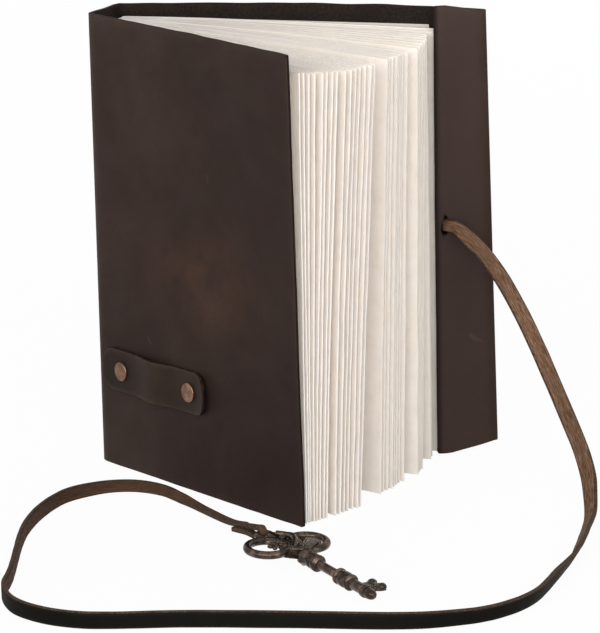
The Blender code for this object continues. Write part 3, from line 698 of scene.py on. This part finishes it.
def make_key():
    """The skeleton key: a scrolled bow of two loops, leaf work, a turned shank and a two-lobed bit."""
    builder = bmesh.new()
    make_bow(builder)
    still = Matrix.Identity(4)
    make_lathe(builder, STEM, still, 40, 8, 0.14, 0.62)
    make_lathe(builder, CROWN, still, 96, 16, 0.17, 0.32)
    make_lathe(builder, SHOULDER, Matrix.Rotation(pi / 8, 4, "X"), 8, tall=0.85)
    for profile, sides in ((COLLAR, 32), (SHANK, 24), (KNUCKLE, 32), (NECK, 24), (TIP, 28)):
        make_lathe(builder, profile, still, sides)
    plate = [[Vector((x, y, z)) for x, y in BIT] for z in (-BIT_HALF, BIT_HALF)]
    loft_bar(builder, plate, (-BIT_HALF, BIT_HALF))
    for centre, size, twist in BIT_LUMPS:
        make_blob(builder, centre, size, twist, 18)
    bmesh.ops.transform(builder, matrix=key_frame, verts=builder.verts)
    return finish_piece("skeleton_key", builder, (BRONZE,), 42.0)


def make_knot():
    """The stopper knot behind the flap, tied in the lace itself, in millimetres from its middle."""
    builder = bmesh.new()
    path = []
    for share in steps(60):
        a = 2 * pi * share
        x = sin(a) + 2 * sin(2 * a)
        z = cos(a) - 2 * cos(2 * a)
        path.append(Vector((x * 0.6, -sin(3 * a) * 0.7, z * 1.1)))
    make_tube(builder, path, 1.2, 10, ends=False)
    stub = [Vector((0.2 * k, -0.2 * k, -3.5 - 0.7 * k)) for k in range(6)]
    make_tube(builder, stub, 1.1, 8, 0.6)
    make_blob(builder, (1.1, 0.8, 0.0), (2.2, 1.2, 4.3))
    place = flap_frame @ Matrix.Translation((SLIT_X - 0.001, INNER - 0.0023, SLIT_HEIGHT))
    bmesh.ops.transform(builder, matrix=place @ Matrix.Scale(MM, 4), verts=builder.verts)
    return finish_piece("stopper_knot", builder, (THONG_GRAIN,))


stopper_knot = make_knot()
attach(stopper_knot, "flap")
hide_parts("thong_knot")
skeleton_key = make_key()
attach(skeleton_key, "back_cover")
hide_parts("key")
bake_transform(thong)
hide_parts("thong_hanging", "thong_lying")
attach(thong_end, "back_cover")
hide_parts("thong_end_loop")


# Cover: one hide, followed from the front cover's fore-edge to the flap's free edge
FRONT_ALONG = flat(FRONT_TURN)
SPINE_ALONG = flat(SPINE_TURN)
FLAP_ALONG = flat(FLAP_TURN)
BACK_ALONG = Vector((1.0, 0.0, 0.0))
MIDDLE = (OUTER + INNER) / 2
FRONT_BEND = FRONT_TURN - SPINE_TURN
REAR_BEND = pi + SPINE_TURN
FLAP_BEND = -FLAP_TURN
# Panels and folds in turn: length, start, the way it runs, the way it faces, and how far it bends
STRETCHES = (
    (FRONT_WIDTH, FRONT + FRONT_ALONG * FRONT_WIDTH, -FRONT_ALONG, FRONT_TURN - QUARTER, 0.0),
    (FRONT_BEND * MIDDLE, FRONT, Vector(), FRONT_TURN - QUARTER, FRONT_BEND),
    (SPINE_WIDTH, FRONT, -SPINE_ALONG, SPINE_TURN - QUARTER, 0.0),
    (REAR_BEND * MIDDLE, REAR, Vector(), SPINE_TURN - QUARTER, REAR_BEND),
    (BACK_WIDTH, REAR, BACK_ALONG, QUARTER, 0.0),
    (FLAP_BEND * MIDDLE, FLAP, Vector(), QUARTER, FLAP_BEND),
    (FLAP_WIDTH, FLAP, FLAP_ALONG, FLAP_TURN + QUARTER, 0.0),
)
stations = [0.0]
for stretch in STRETCHES:
    stations.append(stations[-1] + stretch[0])
FOLDS = tuple(zip(stations[1::2], stations[2::2]))
BACK_START, BACK_END, FLAP_START, FLAP_EDGE = stations[4:]
SPINE_SEAM = (stations[2] + stations[3]) / 2
BACK_SEAM = BACK_START + 0.06
# Rounded corners of the front cover, foot and head, and of the flap
FRONT_CORNERS = (0.0012, 0.0010)
FLAP_CORNER = 0.0010
# The hide is lower at the flap's fold than at the spine, and rises again along the flap
FOLD_TRIM = 0.0033
FLAP_TRIM_RUN = 0.018
SKEW_RUN = 0.05
FOLD_REACH = 0.0035
# The flap's free edge is skived over a lip that reaches in, farther at its foot than at its head
LIP_RUN = 0.0022
LIP_FOOT = 0.0018
LIP_HEAD = 0.0007
LIP_SKIVE = 0.0009
# Spacing of the hide's points: on panels, in folds and near free ends, and where the closer ones begin
ROWS = 62
PANEL_STEP = 0.0025
FOLD_STEP = 0.00028
RIM_STEP = 0.0004
FOLD_LEAD = 0.0012
FOLD_TRAIL = 0.0006
RIM_ZONE = 0.0045
# Cut edges: how far they are rounded, and how thin a free end is pressed
ROUNDING = 0.0004
PINCH_RUN = 0.0005
PINCH = 0.00045
# Marks: painted shade on the flap's free rim, the worn edges, the rubbed patch, and painted light on the flap
RIM_SHADE_RUN = 0.0012
WEAR_RUN = 0.0012
RUB_CENTRE = (0.055, 0.088)
RUB_SIZE = (0.035, 0.022)
PAINTED_LIGHT_RUN = 0.004


def cover_place(u):
    """Base point and outward direction of the hide at the distance u along it."""
    index = next((i for i in range(6) if u <= stations[i + 1]), 6)
    length, start, along, facing, bend = STRETCHES[index]
    run = u - stations[index]
    return start + along * run, flat(facing - bend * run / length)


def corner_cut(distance, radius):
    """How far a rounded corner is cut back at a distance from the free end."""
    if distance >= radius:
        return 0.0
    return radius - sqrt(max(radius**2 - (radius - distance) ** 2, 0.0))


def cover_edges(u):
    """Heights of the hide's lower and upper edge at u, cut a little unevenly."""
    trim = corner_cut(FLAP_EDGE - u, FLAP_CORNER)
    if u > FLAP_START:
        trim += FOLD_TRIM * max(1 - (u - FLAP_START) / FLAP_TRIM_RUN, 0.0)
    elif u > BACK_START:
        trim += FOLD_TRIM * min((u - BACK_START) / BACK_WIDTH, 1.0) ** 3
    low, high = (trim + corner_cut(u, radius) for radius in FRONT_CORNERS)
    return max(low + 0.00022 * wave(u * 90, 1.0), 0.0), HEIGHT - high + 0.0003 * wave(u * 70, 5.0)


def fold_skew(u, z):
    """The flap's fold isn't quite upright: it runs out to the right towards its foot."""
    if u <= FLAP_START:
        share = smooth_step((u - BACK_END + SKEW_RUN) / SKEW_RUN)
    else:
        share = 1 - smooth_step((u - FLAP_START) / FLAP_WIDTH)
    return share * (0.00125 - 0.00295 * z / HEIGHT)


def flap_lip(u, z):
    """The flap's skived lip, cut aslant: how far it reaches in, and how much thinner it is."""
    share = smooth_step((u - FLAP_EDGE + LIP_RUN) / LIP_RUN)
    return share * (LIP_FOOT - (LIP_FOOT - LIP_HEAD) * z / HEIGHT), share * LIP_SKIVE


def front_warp(u, z):
    """The front cover has warped a little: its upper corner stands out, its lower corner in."""
    share = max(1 - u / FRONT_WIDTH, 0.0)
    return share**3 * (-0.0004 + 0.0028 * z / HEIGHT)


def fold_nearness(u):
    """1 on a fold, falling to 0 a few millimetres off it."""
    away = min(max(start - u, u - end, 0.0) for start, end in FOLDS)
    return exp(-((away / FOLD_REACH) ** 2))


def cover_columns(start, end):
    """Distances along the hide at which its points stand, closer in folds and near free ends."""
    limits = [*(fold - FOLD_LEAD for fold, _ in FOLDS), FLAP_EDGE - RIM_ZONE]
    places = []
    u = start
    while u < end - TINY:
        places.append(u)
        in_fold = any(a - FOLD_LEAD < u < b + FOLD_TRAIL for a, b in FOLDS)
        near_end = min(u, FLAP_EDGE - u) < RIM_ZONE
        step = FOLD_STEP if in_fold else RIM_STEP if near_end else PANEL_STEP
        u += min([step, *(limit - u for limit in limits if limit - u > TINY)])
    return [*places, end]


def cover_section(low, high):
    """Points round the hide at one place: height, share of the thickness, and 1 on a cut edge."""
    run = high - low - 2 * ROUNDING
    edge = ((ROUNDING / 4, 0.93), (0.0, 0.72), (0.0, 0.28), (ROUNDING / 4, 0.07))
    return (
        *((low + ROUNDING + run * k / ROWS, 1.0, 0.0) for k in range(ROWS + 1)),
        *((high - back, share, 1.0) for back, share in edge),
        *((high - ROUNDING - run * k / ROWS, 0.0, 0.0) for k in range(ROWS + 1)),
        *((low + back, share, 1.0) for back, share in reversed(edge)),
    )


def make_cover(name, start, end, ends):
    """A stretch of the hide with its grain, flesh side and cut edges."""
    rings, uvs = [], []
    marks = {key: [] for key in ("wear", "rub", "painted_shade", "flap_painted_light")}
    for u in cover_columns(start, end):
        base, outward = cover_place(u)
        low, high = cover_edges(u)
        free_end = min(u if ends[0] else 1.0, FLAP_EDGE - u if ends[1] else 1.0)
        pinch = max(1 - free_end / PINCH_RUN, 0.0) ** 2 * PINCH
        near_fold = fold_nearness(u)
        # A dark band painted along the flap's free edge: painted shade
        rim = exp(-(((FLAP_EDGE - u) / RIM_SHADE_RUN) ** 4))
        for values in (rings, uvs, *marks.values()):
            values.append([])
        for z, share, edge in cover_section(low, high):
            sway = 0.00028 * wave(u * 26, z * 26, 2.0) + 0.00014 * wave(u * 80, z * 80, 7.0)
            reach, skive = flap_lip(u, z)
            depth = INNER + pinch + (OUTER - INNER - 2 * pinch - skive) * share
            depth += sway * (1 - near_fold) + front_warp(u, z)
            rings[-1].append(base + outward * depth + FLAP_ALONG * reach + Vector((fold_skew(u, z), 0.0, z)))
            uvs[-1].append((u, z))
            worn = exp(-max(min(z - low, high - z, free_end), 0.0) / WEAR_RUN)
            marks["wear"][-1].append(max(0.34 * worn, 0.12 * near_fold, 0.3 * edge) * (1 - rim))
            off = [(place - centre) / size for place, centre, size in zip((u, z), RUB_CENTRE, RUB_SIZE)]
            marks["rub"][-1].append(exp(-(off[0] ** 2 + off[1] ** 2)))
            # Painted shade: darker towards the front cover's fore-edge and towards the foot, and on the
            # flap's free rim
            shade = 0.42 * max(1 - u / FRONT_WIDTH, 0.0) + 0.3 * (1 - z / HEIGHT)
            marks["painted_shade"][-1].append(max(shade, rim))
            # Painted light: the flap lighter than the rest of the hide, more so towards its head
            flap_painted_light = 0.6 * smooth_step((u - FLAP_START) / PAINTED_LIGHT_RUN) * (0.5 + 0.5 * z / HEIGHT)
            marks["flap_painted_light"][-1].append(flap_painted_light * (1 - rim))
    slots = [0] * (ROWS + 1) + [2] * 4 + [1] * ROWS + [2] * 4 + [0]
    caps = [2 if free else None for free in ends]
    builder = bmesh.new()
    loft(builder, rings, uvs, slots, caps=caps, marks=marks)
    return finish_piece(name, builder, (HIDE, HIDE_BACK, HIDE_EDGE), 60.0)


# Outline of the slit's drop-shaped opening, in millimetres
SLIT = ((-0.9, -3.4), (0.6, -4.0), (1.9, -3.4), (2.3, -2.0), (1.9, 0.2), (1.2, 2.4), (0.6, 4.0), (-0.6, 3.6))


def cut_slit(hide):
    """A short slit with a drop-shaped opening, from which the lace comes out."""
    builder = bmesh.new()
    rings = []
    for depth in (INNER - 0.0008, OUTER + 0.002):
        corners = [Vector((SLIT_X + x * MM, depth, SLIT_HEIGHT + z * MM)) for x, z in SLIT]
        rings.append([flap_frame @ corner for corner in corners])
    loft(builder, rings, [[(p.x, p.z) for p in ring] for ring in rings], [1] * len(SLIT), caps=(1, 1))
    cutter = finish_piece("slit_cutter", builder, (HIDE, HIDE_BACK, HIDE_EDGE))
    boolean = hide.modifiers.new("slit", "BOOLEAN")
    boolean.object = cutter
    boolean.operation = "DIFFERENCE"
    boolean.solver = "EXACT"
    shaped = bpy.data.meshes.new_from_object(hide.evaluated_get(bpy.context.evaluated_depsgraph_get()))
    hide.modifiers.clear()
    hide.data = shaped
    bpy.data.objects.remove(cutter)


front_hide = make_cover("front_hide", 0.0, SPINE_SEAM, (True, False))
rear_hide = make_cover("rear_hide", SPINE_SEAM, BACK_SEAM, (False, False))
flap_hide = make_cover("flap_hide", BACK_SEAM, FLAP_EDGE, (False, True))
cut_slit(flap_hide)
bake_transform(front_hide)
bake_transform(rear_hide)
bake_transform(flap_hide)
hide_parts("front_cover", "front_fold")
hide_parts("spine_panel", "rear_fold")
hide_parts("back_cover", "flap_fold", "flap")


# Keeper strap and rivets, on the front cover
STRAP_START = 0.0035
STRAP_LENGTH = 0.0705
STRAP_HEIGHT = 0.0175
STRAP_THICKNESS = 0.0018
STRAP_GAP = 0.0003
STRAP_CENTRE = 0.042
STRAP_CORNER = 0.0075
STRAP_ARCH = 0.0024
TAB = 0.02
ARCH_START = 0.85 * TAB
ARCH_LENGTH = STRAP_LENGTH - ARCH_START - TAB
STRAP_CURL = 0.0024
CURL_RUN = 0.008
STRAP_COLUMNS = 120
STRAP_PINCH_RUN = 0.0006
STRAP_WEAR_RUN = 0.001
STRAP_SHIFT = 0.3
# Section: height as a share of half the strap's, depth as a share of its thickness, and 1 on a cut edge
STRAP_FACE = [-0.93 + 1.86 * share for share in steps(10)]
STRAP_EDGE = ((0.985, 0.9), (1.0, 0.66), (1.0, 0.3), (0.985, 0.06))
STRAP_SECTION = (
    *((z, 1.0, 0.0) for z in STRAP_FACE),
    *((z, depth, 1.0) for z, depth in STRAP_EDGE),
    *((-z, 0.0, 0.0) for z in STRAP_FACE),
    *((-z, depth, 1.0) for z, depth in reversed(STRAP_EDGE)),
)
RIVET_MARGIN = 0.0135
RIVET_END_MARGIN = 0.0115
# Rivet, in millimetres: its post, and its cap by radius and height over its seat
POST_RADIUS = 1.5
POST_START = INNER / MM + 0.4
CAP_SEAT = (OUTER + STRAP_GAP + STRAP_THICKNESS) / MM + 0.2
RIVET_CAP = (
    (1.5, 0.0), (3.7, 0.0), (3.95, 0.12), (4.0, 0.35), (3.92, 0.62), (3.7, 0.78), (3.45, 0.8),
    (3.25, 0.74), (2.9, 0.78), (2.0, 0.92), (1.0, 0.99), (0.2, 1.0),
)
front_frame = placed(FRONT, FRONT_TURN)


def make_strap():
    """The keeper: a strip with rounded ends that bows off the cover between its rivets."""
    rings, uvs, wear = [], [], []
    for i in range(STRAP_COLUMNS + 1):
        x = STRAP_LENGTH * (1 - cos(pi * i / STRAP_COLUMNS)) / 2
        from_end = min(x, STRAP_LENGTH - x)
        inside = max(STRAP_CORNER - from_end, 0.0)
        tall = STRAP_HEIGHT / 2 - STRAP_CORNER + sqrt(max(STRAP_CORNER**2 - inside**2, 0.0))
        share = min(max((x - ARCH_START) / ARCH_LENGTH, 0.0), 1.0)
        bow = sin(pi * share**1.2) ** 2
        curl = max((x - STRAP_LENGTH + CURL_RUN) / CURL_RUN, 0.0) ** 1.5
        near = OUTER + STRAP_GAP + STRAP_ARCH * bow + STRAP_CURL * curl
        pinch = max(1 - from_end / STRAP_PINCH_RUN, 0.0) ** 2
        ring = []
        worn = []
        for z, depth, edge in STRAP_SECTION:
            out = near + STRAP_THICKNESS * (0.5 + (depth - 0.5) * (1 - 0.5 * pinch))
            ring.append(front_frame @ Vector((STRAP_START + x, -out, STRAP_CENTRE + z * tall)))
            rim = exp(-min(from_end, (1 - abs(z)) * tall) / STRAP_WEAR_RUN)
            worn.append(0.3 * edge + 0.3 * rim + 0.12 * bow)
        rings.append(ring)
        uvs.append([(x + STRAP_SHIFT, z * tall) for z, _, _ in STRAP_SECTION])
        wear.append(worn)
    builder = bmesh.new()
    slots = [0] * 11 + [2] * 4 + [1] * 11 + [2] * 3 + [0]
    loft(builder, rings, uvs, slots, caps=(2, 2), marks={"wear": wear})
    return finish_piece("keeper", builder, (STRAP_HIDE, HIDE_BACK, HIDE_EDGE), 55.0)


keeper = make_strap()
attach(keeper, "front_cover")
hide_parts("keeper_strap")


def make_rivet(number, x):
    """A copper cap with a rolled rim and a slightly crowned face on its post."""
    outline = [(POST_RADIUS, POST_START), *((radius, CAP_SEAT + rise) for radius, rise in RIVET_CAP)]
    place = front_frame @ placed((x, 0.0, STRAP_CENTRE), -QUARTER)
    builder = bmesh.new()
    make_lathe(builder, outline, place @ Matrix.Scale(MM, 4), 40)
    made = finish_piece(f"rivet_cap_{number}", builder, (COPPER,), 45.0)
    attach(made, "front_cover")
    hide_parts(f"rivet_{number}")


make_rivet(1, STRAP_START + RIVET_MARGIN)
make_rivet(2, STRAP_START + STRAP_LENGTH - RIVET_END_MARGIN)


# Leaves in their clusters: how many, page width, and for the first and the last leaf the turn at the top,
# the turn at the foot (both in degrees) and the droop of the upper fore-edge corner in millimetres
GROUPS = (
    (4, 0.1280, -45.4, -42.5, -46.0, -45.0, 3.3, 4.4),
    (4, 0.1290, -41.1, -38.3, -44.8, -43.2, 4.7, 5.6),
    (7, 0.1295, -36.5, -29.6, -41.5, -36.1, 6.2, 6.5),
    (8, 0.1259, -22.6, -16.0, -28.0, -21.1, 7.6, 8.2),
    (4, 0.1272, -12.0, -5.6, -16.3, -13.3, 8.2, 7.6),
    (3, 0.1266, -5.0, -3.6, -7.2, -5.4, 7.2, 6.4),
    (2, 0.1306, -2.2, -1.7, -2.6, -2.1, 6.2, 5.4),
)
LEAF_COUNT = sum(group[0] for group in GROUPS)
LEAF_COLUMNS = 14
LEAF_ROWS = 40
PAGE_LOW = 0.005
PAGE_HIGH = 0.183
PAGE_HEIGHT = PAGE_HIGH - PAGE_LOW
FOOT_DROOP = 0.0047
LEAST_HEIGHT = 0.0002
SHEET = 0.00055
# The sewn folds stand over a share of the spine's width, on a slightly rounded back
STACK_SHARE = 0.92
ROOT_DEPTH = 0.0014
ROOT_ROUND = 0.0005
ROOT_GAP = 0.0003
# How far the spine, and then the front cover, turn to close the journal, in degrees
CLOSE_SPINE = -90 - degrees(SPINE_TURN)
CLOSE_FRONT = -degrees(FRONT_TURN) - CLOSE_SPINE
LEAST_SPAN = 0.002
bundle_names = sorted(n for n in frame["bodies"] if n.startswith("leaves_"))
ratios = {c["joint"]: c["ratio"] for c in frame["record"]["behaviour"]["couplings"]}
closing_turns = {name: ratios[name + "_hinge"] * CLOSE_FRONT for name in bundle_names}
closing_turns["front_cover"] = CLOSE_FRONT
closing_turns["back_cover"] = -CLOSE_SPINE


def unsmooth(weight):
    """The place along a smooth step at which it has this value."""
    return 0.5 - sin(asin(1 - 2 * weight) / 3)


def make_leaf(index, width, top_turn, foot_turn, droop, dice):
    """One sheet from its sewn fold to its deckled fore-edge, twisted as it stands."""
    off_middle = (2 * index + 1) / LEAF_COUNT - 1
    root = REAR + SPINE_ALONG * SPINE_WIDTH * (1 - STACK_SHARE * off_middle) / 2
    root += flat(SPINE_TURN + QUARTER) * (ROOT_DEPTH + ROOT_ROUND * (1 - off_middle**2))
    width += dice.uniform(-0.0006, 0.0005)
    seed = dice.uniform(0, 100)
    bow = dice.uniform(-0.0005, 0.0008)
    lift = dice.uniform(-0.0001, 0.00015)
    outward = steps(LEAF_COLUMNS)
    rings, uvs = [], []
    for v in steps(LEAF_ROWS):
        turn = radians(foot_turn + (top_turn - foot_turn) * (v * 0.75 + 0.25 * v * v))
        along = flat(turn)
        side = flat(turn + QUARTER)
        edge = 0.00028 * wave(v * 9, seed) + 0.00014 * wave(v * 40, seed)
        near_cut = (abs(v - 0.5) * 2) ** 6
        ring = []
        uv = []
        for face, s in (*((1, s) for s in outward), *((-1, s) for s in reversed(outward))):
            reach = ROOT_GAP + (width + edge - ROOT_GAP) * s
            trim = 0.00007 * wave(s * 14, seed + 20 + 5 * (v > 0.5)) * near_cut
            sag = (FOOT_DROOP + (droop * MM - FOOT_DROOP) * v) * s**1.4
            z = max(PAGE_LOW + PAGE_HEIGHT * v - sag + lift * v + trim, LEAST_HEIGHT)
            curve = bow * sin(pi * s) + 0.0004 * s * wave(v * 2.2, seed + 50)
            thin = SHEET / 2 * (1.06 if s == 1 else 1 + 0.15 * s)
            place = root + along * reach + side * (curve + face * thin)
            ring.append(Vector((place.x, place.y, z)))
            uv.append((s * width + index * 0.37, v * PAGE_HEIGHT + index * 0.11))
        rings.append(ring)
        uvs.append(uv)
    slots = [0] * len(rings[0])
    # The fore-edge, and the head and foot, take the lighter paper: painted light
    slots[LEAF_COLUMNS] = 1
    builder = bmesh.new()
    loft(builder, rings, uvs, slots, caps=(1, 1))
    return finish_piece(f"leaf_{index + 1:02d}", builder, (PAPER, LIT_PAPER_EDGE), 60.0)


def bind_leaf(leaf, own, top_turn, foot_turn):
    """Works out the sheet whose closing turn covers the leaf's twist, and its shares of that turn at the top
    and foot, then bakes the leaf's place into its mesh.
    """
    needs = [-top_turn - CLOSE_SPINE, -foot_turn - CLOSE_SPINE]
    lead = max(needs, key=abs)
    usable = [n for n in bundle_names if closing_turns[n] * lead > 0 and abs(closing_turns[n]) >= abs(lead)]
    pick = "front_cover" if lead > 0 else "back_cover"
    if usable:
        pick = min(usable, key=lambda n: (abs(bundle_names.index(n) - own), -abs(closing_turns[n])))
    top, foot = [unsmooth(min(max(need / closing_turns[pick], 0.0), 1.0)) for need in needs]
    if abs(top - foot) < LEAST_SPAN:
        top += LEAST_SPAN if top < 0.5 else -LEAST_SPAN
    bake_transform(leaf)


dice = random.Random(7)
taken = set()
leaf_index = 0
for count, page_width, top_first, top_last, foot_first, foot_last, droop_first, droop_last in GROUPS:
    for share in steps(count - 1):
        wobble = dice.uniform(-0.16, 0.16) * (top_last - top_first) / (count - 1)
        top = top_first + (top_last - top_first) * share + wobble
        foot = foot_first + (foot_last - foot_first) * share + wobble * 0.5
        droop = droop_first + (droop_last - droop_first) * share
        leaf = make_leaf(leaf_index, page_width, top, foot, droop, dice)
        own_bundle = int((leaf_index + 0.5) / LEAF_COUNT * len(bundle_names))
        bind_leaf(leaf, own_bundle, top, foot)
        bundle = bundle_names[own_bundle]
        if bundle not in taken:
            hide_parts(bundle)
            taken.add(bundle)
        leaf_index += 1

# Pieces whose solids keep their shape
for node_name, look in (
    ("back_endpaper", ENDPAPER),
    ("front_endpaper", ENDPAPER),
    ("spine_lining", CLOTH),
    ("rivet_back_1", COPPER),
    ("rivet_back_2", COPPER),
    *((f"stitch_{k}", LINEN) for k in range(1, 6)),
):
    for material_slot in frame["nodes"][node_name].material_slots:
        material_slot.material = look


# Floor and light
FLOOR_HALF = 6.0
FLOOR_TONE = (0.86, 0.86, 0.86, 1.0)
FLOOR_WHITE_SHARE = 0.96
SKY_STRENGTH = 0.46
WHITE = (1.0, 1.0, 1.0, 1.0)
LAMP_AIM = Vector((0.0, 0.0, 0.09))
# Lamps: name, place, size and power
LAMPS = (
    ("key_light", (-0.75, -1.3, 0.6), 0.9, 8.0),
    ("fill_light", (1.1, -1.15, 0.45), 1.1, 4.5),
    ("front_light", (0.15, -1.5, 0.5), 1.1, 13.0),
    ("back_light", (0.1, 1.35, 0.8), 1.0, 6.0),
)


def seen_share(tree):
    """1 for a ray from the camera, for a reflection and for a ray through glass."""
    rays = add_node(tree, "ShaderNodeLightPath", {}).outputs
    seen = rays["Is Camera Ray"]
    for name in ("Is Glossy Ray", "Is Transmission Ray"):
        seen = add_node(tree, "ShaderNodeMath", {0: seen, 1: rays[name]}, operation="MAXIMUM").outputs[0]
    return seen


def mix_surface(tree, share, lit, white, output):
    """Shows the white surface by the share, and the lit one for the rest."""
    mixed = add_node(tree, "ShaderNodeMixShader", {0: share, 1: lit.outputs[0], 2: white.outputs[0]})
    fill(tree.nodes[output], {"Surface": mixed.outputs[0]})


def make_floor():
    corners = [(x * FLOOR_HALF, y * FLOOR_HALF, 0) for x, y in ((-1, -1), (1, -1), (1, 1), (-1, 1))]
    mesh = bpy.data.meshes.new("floor")
    mesh.from_pydata(corners, [], [(0, 1, 2, 3)])
    look = Look("floor_white", 0.9, specular=0.1)
    fill(look.shader, {"Base Color": FLOOR_TONE})
    glow = look.node("ShaderNodeEmission", {"Strength": 1.0})
    share = look.calc("MULTIPLY", seen_share(look.tree), FLOOR_WHITE_SHARE)
    mix_surface(look.tree, share, look.shader, glow, "Material Output")
    mesh.materials.append(look.material)
    add_object("floor", mesh)


def make_lamp(name, place, size, power):
    lamp = bpy.data.lights.new(name, "AREA")
    lamp.shape = "DISK"
    lamp.size = size
    lamp.energy = power
    made = add_object(name, lamp)
    made.location = place
    made.rotation_mode = "QUATERNION"
    made.rotation_quaternion = (LAMP_AIM - Vector(place)).to_track_quat("-Z", "Y")


def make_sky():
    world = bpy.data.worlds.new("studio")
    scene.world = world
    world.use_nodes = True
    tree = world.node_tree
    sky = fill(tree.nodes["Background"], {"Color": WHITE, "Strength": SKY_STRENGTH})
    seen_white = add_node(tree, "ShaderNodeBackground", {"Color": WHITE})
    mix_surface(tree, seen_share(tree), sky, seen_white, "World Output")


make_floor()
for lamp in LAMPS:
    make_lamp(*lamp)
make_sky()
